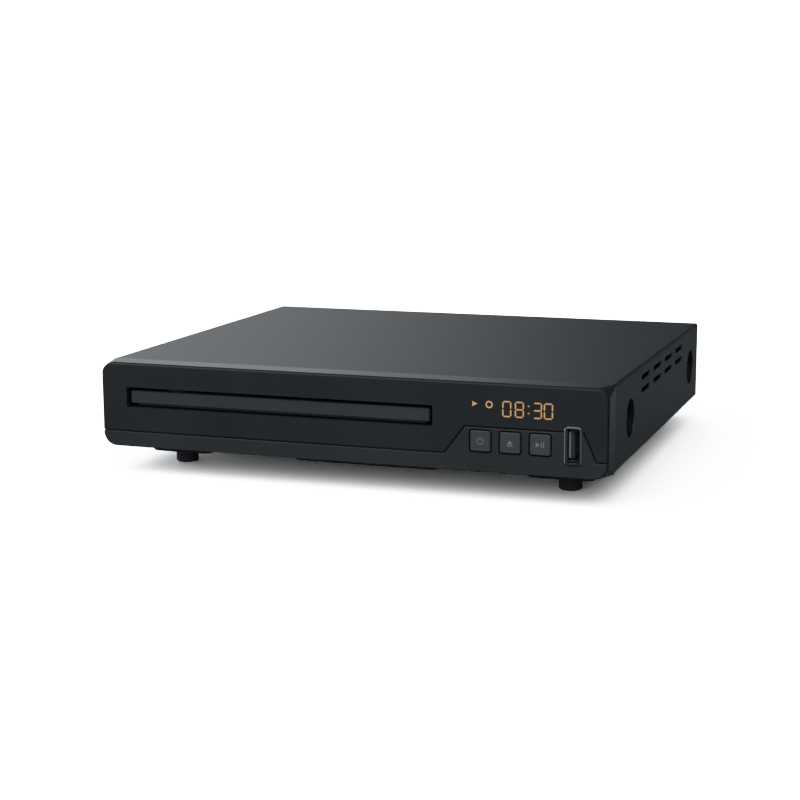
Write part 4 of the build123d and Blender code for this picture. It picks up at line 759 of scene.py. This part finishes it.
signs = {
    "stroke": 0.32,        # mm
    "proud": 0.04,
    "powerRadius": 1.3,
    "powerGap": 62.0,      # degrees open at the top
    "powerBar": (0.25, 1.3),      # from and to, in radii above the middle
    "arrowWidth": 2.5,
    "arrowHeight": 1.7,
    "barGap": 0.42,
    "barStrokes": 1.4,     # the bar under the arrow, in strokes
    "playWidth": 1.7,
    "playHeight": 2.2,
    "pauseGap": 0.5,
    "pauseStrokes": 1.3,
    "dark": (0.115, 0.125, 0.133),
    "light": (0.14, 0.15, 0.16),
    "rough": (0.4, 0.5),
}


def drawPower(bm, x, z, y):
    s = signs["stroke"] * mm
    r = signs["powerRadius"] * mm
    gap = signs["powerGap"]
    low, high = signs["powerBar"]
    addRing(bm, Vector((x, y, z)), r - s / 2, r + s / 2, 360 - gap, gap / 2)
    addBar(bm, x - s / 2, x + s / 2, z + r * low, z + r * high, y)


def drawEject(bm, x, z, y):
    s = signs["stroke"] * mm
    w = signs["arrowWidth"] * mm / 2
    h = signs["arrowHeight"] * mm
    foot = z - h / 2 + s
    addFlat(bm, [(x - w, foot), (x + w, foot), (x, foot + h)], y)
    top = foot - signs["barGap"] * mm
    addBar(bm, x - w, x + w, top - signs["barStrokes"] * s, top, y)


def drawPlay(bm, x, z, y):
    w = signs["playWidth"] * mm
    h = signs["playHeight"] * mm / 2
    s = signs["stroke"] * mm * signs["pauseStrokes"]
    g = signs["pauseGap"] * mm
    left = x - (w + 2 * s + 2 * g) / 2
    addFlat(bm, [(left, z - h), (left + w, z), (left, z + h)], y)
    for n in range(2):
        x0 = left + w + g + n * (s + g)
        addBar(bm, x0, x0 + s, z - h, z + h, y)


def makeSigns():
    material = mouldedPlastic("signPrint", signs)
    for key, draw in (("power", drawPower), ("eject", drawEject), ("play", drawPlay)):
        low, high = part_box(key + "_button")
        bm = bmesh.new()
        draw(bm, (low.x + high.x) / 2, (low.z + high.z) / 2, low.y - signs["proud"] * mm)
        thicken(bm, signs["proud"] * mm)
        newPiece(key + "_sign", bm, material, key + "_body")


port = {
    "slimLow": (0.45, 0.0),      # mm that the frame stays inside its space: left and below
    "slimHigh": (0.5, 0.55),     # right and above
    "corner": 1.6,
    "cornerSteps": 6,
    # steps across the frame's roll, in from the edge and forward, mm
    "roll": ((0.12, 0.1), (0.18, 0.1), (0.24, 0.08), (0.16, 0.02)),
    "side": 0.3,           # mm, straight part of the edge under the roll
    "step": 0.35,          # mm down from the roll to the land inside it
    "land": 0.45,
    "mouth": (0.05, -0.05),
    "rim": 0.5,            # mm that the frame stands out round the wall behind it
    "wall": 0.7,
    "weld": 0.001,         # mm, points nearer than this become one
    "lipWidth": 0.75,      # pale end of the tongue
    "lipLeft": 0.2,        # mm that it stands out past the tongue's left side
    "lipProud": 0.12,
    "lipMargin": 0.25,
    "lipEdge": 0.05,
    "lip": {"dark": (0.15, 0.154, 0.158), "light": (0.18, 0.184, 0.188), "rough": (0.35, 0.45)},
}


def roundedFace(bm, low, high, y):
    # upright face that looks along -Y
    face = addBar(bm, low.x, high.x, low.z, high.z, y)
    bmesh.ops.bevel(bm, geom=face.verts[:], offset=port["corner"] * mm, affect="VERTICES",
                    segments=port["cornerSteps"], profile=0.5, material=-1)
    return max(bm.faces, key=lambda f: len(f.verts))


def stepIn(bm, face, thickness, depth):
    # the face shrinks and moves along its normal
    bmesh.ops.inset_region(bm, faces=[face], thickness=thickness * mm, depth=depth * mm,
                           use_even_offset=True)


def pushFace(bm, face, move):
    grown = bmesh.ops.extrude_discrete_faces(bm, faces=[face])["faces"][0]
    bmesh.ops.translate(bm, verts=grown.verts, vec=(0, move * mm, 0))
    return grown


def makePortBezel():
    low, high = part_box("usb_bezel")
    left, below = port["slimLow"]
    right, above = port["slimHigh"]
    low = low + Vector((left, 0, below)) * mm
    high = high - Vector((right, 0, above)) * mm
    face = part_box("lower_trim")[0].y
    bm = bmesh.new()
    front = roundedFace(bm, low, high, face)
    back = bmesh.ops.duplicate(bm, geom=[front])["face_map"][front]
    front = pushFace(bm, front, -port["side"])
    for thickness, depth in port["roll"]:
        stepIn(bm, front, thickness, depth)
    front = pushFace(bm, front, port["step"])
    stepIn(bm, front, port["land"], 0.0)
    stepIn(bm, front, *port["mouth"])
    back.normal_flip()
    stepIn(bm, back, port["rim"], 0.0)
    back = pushFace(bm, back, (high.y - face) / mm)
    stepIn(bm, back, port["wall"], 0.0)
    loops = [*front.edges, *back.edges]
    bmesh.ops.delete(bm, geom=[front, back], context="FACES_ONLY")
    bmesh.ops.bridge_loops(bm, edges=loops)
    bmesh.ops.remove_doubles(bm, verts=bm.verts, dist=port["weld"] * mm)
    piece = newPiece("port_bezel", bm, finishes["bezel_chrome"], "case")
    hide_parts("usb_bezel")


def makeTongueLip():
    low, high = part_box("usb_tongue")
    margin = port["lipMargin"] * mm
    left = low.x - port["lipLeft"] * mm
    bm = bmesh.new()
    addBlock(bm, (left, low.y - port["lipProud"] * mm, low.z + margin),
             (left + port["lipWidth"] * mm, low.y, high.z - margin), port["lipEdge"])
    newPiece("tongue_lip", bm, mouldedPlastic("tongueLip", port["lip"]), "case")


# near-black felt: painted shade in the gap under the tray door
slotShadeSeal = {
    "below": 0.15,         # mm from the slot's lower edge down to the felt
    "thick": 0.9,
    "deep": 4.5,
    "wall": 4.0,           # mm from the face to the back of the panel's wall
    "overlap": 3.0,        # mm past the slot's ends
    "gap": 1.65,           # mm between the door and the slot's edge
    "edge": 0.15,
    "felt": {"dark": (0.004, 0.004, 0.0042), "light": (0.008, 0.008, 0.0082), "rough": (0.8, 0.95)},
}


def makeSlotShadeSeal():
    # near-black felt strip behind the wall, under the slot, against dust; it also puts painted shade in the
    # gap under the door
    low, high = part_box("tray_door")
    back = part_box("fascia_plate")[0].y + slotShadeSeal["wall"] * mm
    top = low.z - (slotShadeSeal["gap"] + slotShadeSeal["below"]) * mm
    reach = (slotShadeSeal["gap"] + slotShadeSeal["overlap"]) * mm
    bm = bmesh.new()
    addBlock(bm, (low.x - reach, back, top - slotShadeSeal["thick"] * mm),
             (high.x + reach, back + slotShadeSeal["deep"] * mm, top), slotShadeSeal["edge"])
    newPiece("slot_shade_seal", bm, rubber("slotShadeFelt", slotShadeSeal["felt"]), "case")


# near-black foam: painted shade in the gap under the cover's rear edge
rearShadeSeal = {
    "sheet": 0.8,          # mm, steel of the cover and of the rear panel
    "deep": 0.9,
    "tall": 1.2,
    "fromEnd": 1.2,        # mm short of the rear panel's ends
    "edge": 0.15,
    "foam": {"dark": (0.004, 0.004, 0.0042), "light": (0.008, 0.008, 0.0082), "rough": (0.8, 0.95)},
}


def makeRearShadeSeal():
    # near-black foam strip inside the rear panel's upper edge, against the cover: it closes the gap there
    # and shows as painted shade
    low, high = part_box("rear_panel")
    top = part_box("top_cover")[1].z - rearShadeSeal["sheet"] * mm
    back = high.y - rearShadeSeal["sheet"] * mm
    end = rearShadeSeal["fromEnd"] * mm
    bm = bmesh.new()
    addBlock(bm, (low.x + end, back - rearShadeSeal["deep"] * mm, top - rearShadeSeal["tall"] * mm),
             (high.x - end, back, top), rearShadeSeal["edge"])
    newPiece("rear_shade_seal", bm, rubber("sealShadeFoam", rearShadeSeal["foam"]), "case")


# near-black liners in the cover's screw recesses: painted shade in the recesses
shadeLiner = {
    "mouth": 8.1,          # mm, radii of the cover's drawn recess, less a little room
    "floor": 6.75,
    "hole": 3.45,
    "depth": 3.55,
    "lip": 0.2,            # mm below the cover's side
    "sheet": 0.25,
    "steps": 48,
    "look": {"dark": (0.0025, 0.0026, 0.0027), "light": (0.004, 0.0042, 0.0044), "rough": (0.6, 0.75),
             "specular": 0.1},
}


# one liner of painted shade for a recess
def addShadeLiner(bm, centre, side):
    # radii and depths round the liner's section
    hole, floor, mouth = shadeLiner["hole"], shadeLiner["floor"], shadeLiner["mouth"]
    depth, lip, sheet = shadeLiner["depth"], shadeLiner["lip"], shadeLiner["sheet"]
    outline = [(hole, depth), (floor, depth), (mouth, lip),
               (mouth - sheet, lip), (floor - sheet, depth - sheet), (hole, depth - sheet)]
    points = [bm.verts.new((centre[0] - side * d * mm, centre[1], centre[2] + r * mm)) for r, d in outline]
    edges = [bm.edges.new((points[n - 1], points[n])) for n in range(len(points))]
    bmesh.ops.spin(bm, geom=[*points, *edges], cent=centre, axis=(1, 0, 0), angle=math.tau,
                   steps=shadeLiner["steps"], use_merge=True)


screw = {
    "radius": 3.3,         # mm, of a cover screw
    "height": 1.8,
    "crossArm": 1.8,
    "crossHalf": 0.42,
    "crossDepth": 1.1,
    "edge": 0.7,
    "edgeSteps": 3,
    "rimSteps": 32,
    "socketSize": 0.75,    # sizes of the others, next to a cover screw
    "rearSize": 0.8,
    "baseSize": 0.72,
    "boardSize": 0.7,
    "fromFront": 28.7,     # mm behind the cover's front edge
    "fromRear": 19.2,
    "up": 17.0,            # mm above the cover's lower edge
    "depth": 3.6,          # mm below the cover's side
    "rearSpots": ((-30.0, 5.5), (28.0, 5.5)),   # mm from the middle and above the cover's lower edge
    "panFloor": 2.2,       # mm from the pads up to the pan's floor
    "legs": ((-60.0, -40.8), (60.0, -40.8), (-30.0, 67.2), (60.0, 67.2)),   # mm, X from the turntable
    "inset": 4.5,          # mm, standoffs from the boards' edges
    "pillar": 2.4,
    "step": 18.0,
    "powerShift": -9.0,    # the right front standoff, from the power board's middle
}


def addScrew(bm, place, towards, size=1.0):
    # pan head with a cross recess, made facing +Z and turned to its place
    head = bmesh.new()
    r, h = screw["radius"] * mm, screw["height"] * mm
    a, c = screw["crossArm"] * mm, screw["crossHalf"] * mm
    rim = bmesh.ops.create_circle(head, cap_ends=False, segments=screw["rimSteps"], radius=r)["verts"]
    rimEdges = list({e for v in rim for e in v.link_edges})
    outline = [(c, a), (c, c), (a, c), (a, -c), (c, -c), (c, -a),
               (-c, -a), (-c, -c), (-a, -c), (-a, c), (-c, c), (-c, a)]
    recess = head.faces.new([head.verts.new((x, y, 0)) for x, y in outline])
    bmesh.ops.bridge_loops(head, edges=rimEdges + list(recess.edges))
    grown = bmesh.ops.extrude_face_region(head, geom=[recess])
    sunk = [g for g in grown["geom"] if isinstance(g, bmesh.types.BMVert)]
    bmesh.ops.translate(head, verts=sunk, vec=(0, 0, -screw["crossDepth"] * mm))
    skirt = bmesh.ops.extrude_edge_only(head, edges=rimEdges)["geom"]
    foot = {g for g in skirt if isinstance(g, bmesh.types.BMVert)}
    footEdges = [g for g in skirt if isinstance(g, bmesh.types.BMEdge) and foot.issuperset(g.verts)]
    bmesh.ops.translate(head, verts=list(foot), vec=(0, 0, -h))
    bmesh.ops.holes_fill(head, edges=footEdges)
    bmesh.ops.bevel(head, geom=rimEdges, offset=screw["edge"] * mm, affect="EDGES",
                    segments=screw["edgeSteps"], profile=0.5, material=-1)
    # the foot of the head stands on the given place
    bmesh.ops.translate(head, verts=head.verts, vec=(0, 0, h))
    turn = Vector(towards).to_track_quat("Z", "Y").to_matrix().to_4x4() @ Matrix.Scale(size, 4)
    bmesh.ops.transform(head, matrix=Matrix.Translation(place) @ turn, verts=head.verts)
    mesh = bpy.data.meshes.new("screwHead")
    head.to_mesh(mesh)
    head.free()
    bm.from_mesh(mesh)
    bpy.data.meshes.remove(mesh)


def makeCoverScrews():
    low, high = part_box("top_cover")
    bm = bmesh.new()
    shadeLiners = bmesh.new()
    z = low.z + screw["up"] * mm
    for side, x in ((-1, low.x), (1, high.x)):
        for y in (low.y + screw["fromFront"] * mm, high.y - screw["fromRear"] * mm):
            addScrew(bm, (x - side * screw["depth"] * mm, y, z), (side, 0, 0))
            # liner of painted shade in the recess round the screw
            addShadeLiner(shadeLiners, (x, y, z), side)
    newPiece("cover_screws", bm, screwBlack, "case")
    newPiece("screw_recess_shade", shadeLiners, rubber("linerShadeBlack", shadeLiner["look"]), "case")


def makeRearScrews():
    low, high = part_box("top_cover")
    plugLow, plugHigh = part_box("socket_inserts")
    middle = (plugLow + plugHigh) / 2
    bm = bmesh.new()
    addScrew(bm, (middle.x, high.y, middle.z), (0, 1, 0), screw["socketSize"])
    for x, up in screw["rearSpots"]:
        addScrew(bm, (x * mm, high.y, low.z + up * mm), (0, 1, 0), screw["rearSize"])
    newPiece("rear_screws", bm, screwBlack, "case")


def standoffSpots():
    inset = screw["inset"] * mm
    low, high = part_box("power_board")
    mainLow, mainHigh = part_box("main_board")
    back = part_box("board_standoffs")[1].y - screw["pillar"] * mm
    left, right = low.x + inset, high.x - inset
    middle = (low.y + high.y) / 2 + screw["powerShift"] * mm
    return [(left, low.y + inset), (right, middle), (left, high.y - inset), (right, high.y - inset),
            (left, mainLow.y + inset), (mainHigh.x - inset, mainLow.y + inset),
            (left, back), (left + screw["step"] * mm, back)]


def makeBaseScrews():
    # under the pan, below the loader's legs and the standoffs
    bm = bmesh.new()
    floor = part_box("base_chassis")[0].z + screw["panFloor"] * mm
    low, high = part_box("turntable")
    centre = (low.x + high.x) / 2
    legs = [(centre + x * mm, y * mm) for x, y in screw["legs"]]
    for x, y in legs + standoffSpots():
        addScrew(bm, (x, y, floor), (0, 0, -1), screw["baseSize"])
    newPiece("base_screws", bm, finishes["bare_steel"], "case")


def makeBoardScrews():
    bm = bmesh.new()
    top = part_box("power_board")[1].z
    for x, y in standoffSpots():
        addScrew(bm, (x, y, top), (0, 0, 1), screw["boardSize"])
    newPiece("board_screws", bm, finishes["bare_steel"], "case")


makeClock()
makeSigns()
makePortBezel()
makeTongueLip()
makeSlotShadeSeal()
makeRearShadeSeal()
makeCoverScrews()
makeRearScrews()
makeBaseScrews()
makeBoardScrews()
print("pieces: clock, signs, port, seals, screws")

makeCamera(viewPoint)
makeFloor()
makeLights()
makeSky()
setShoulder()
print("studio ready")
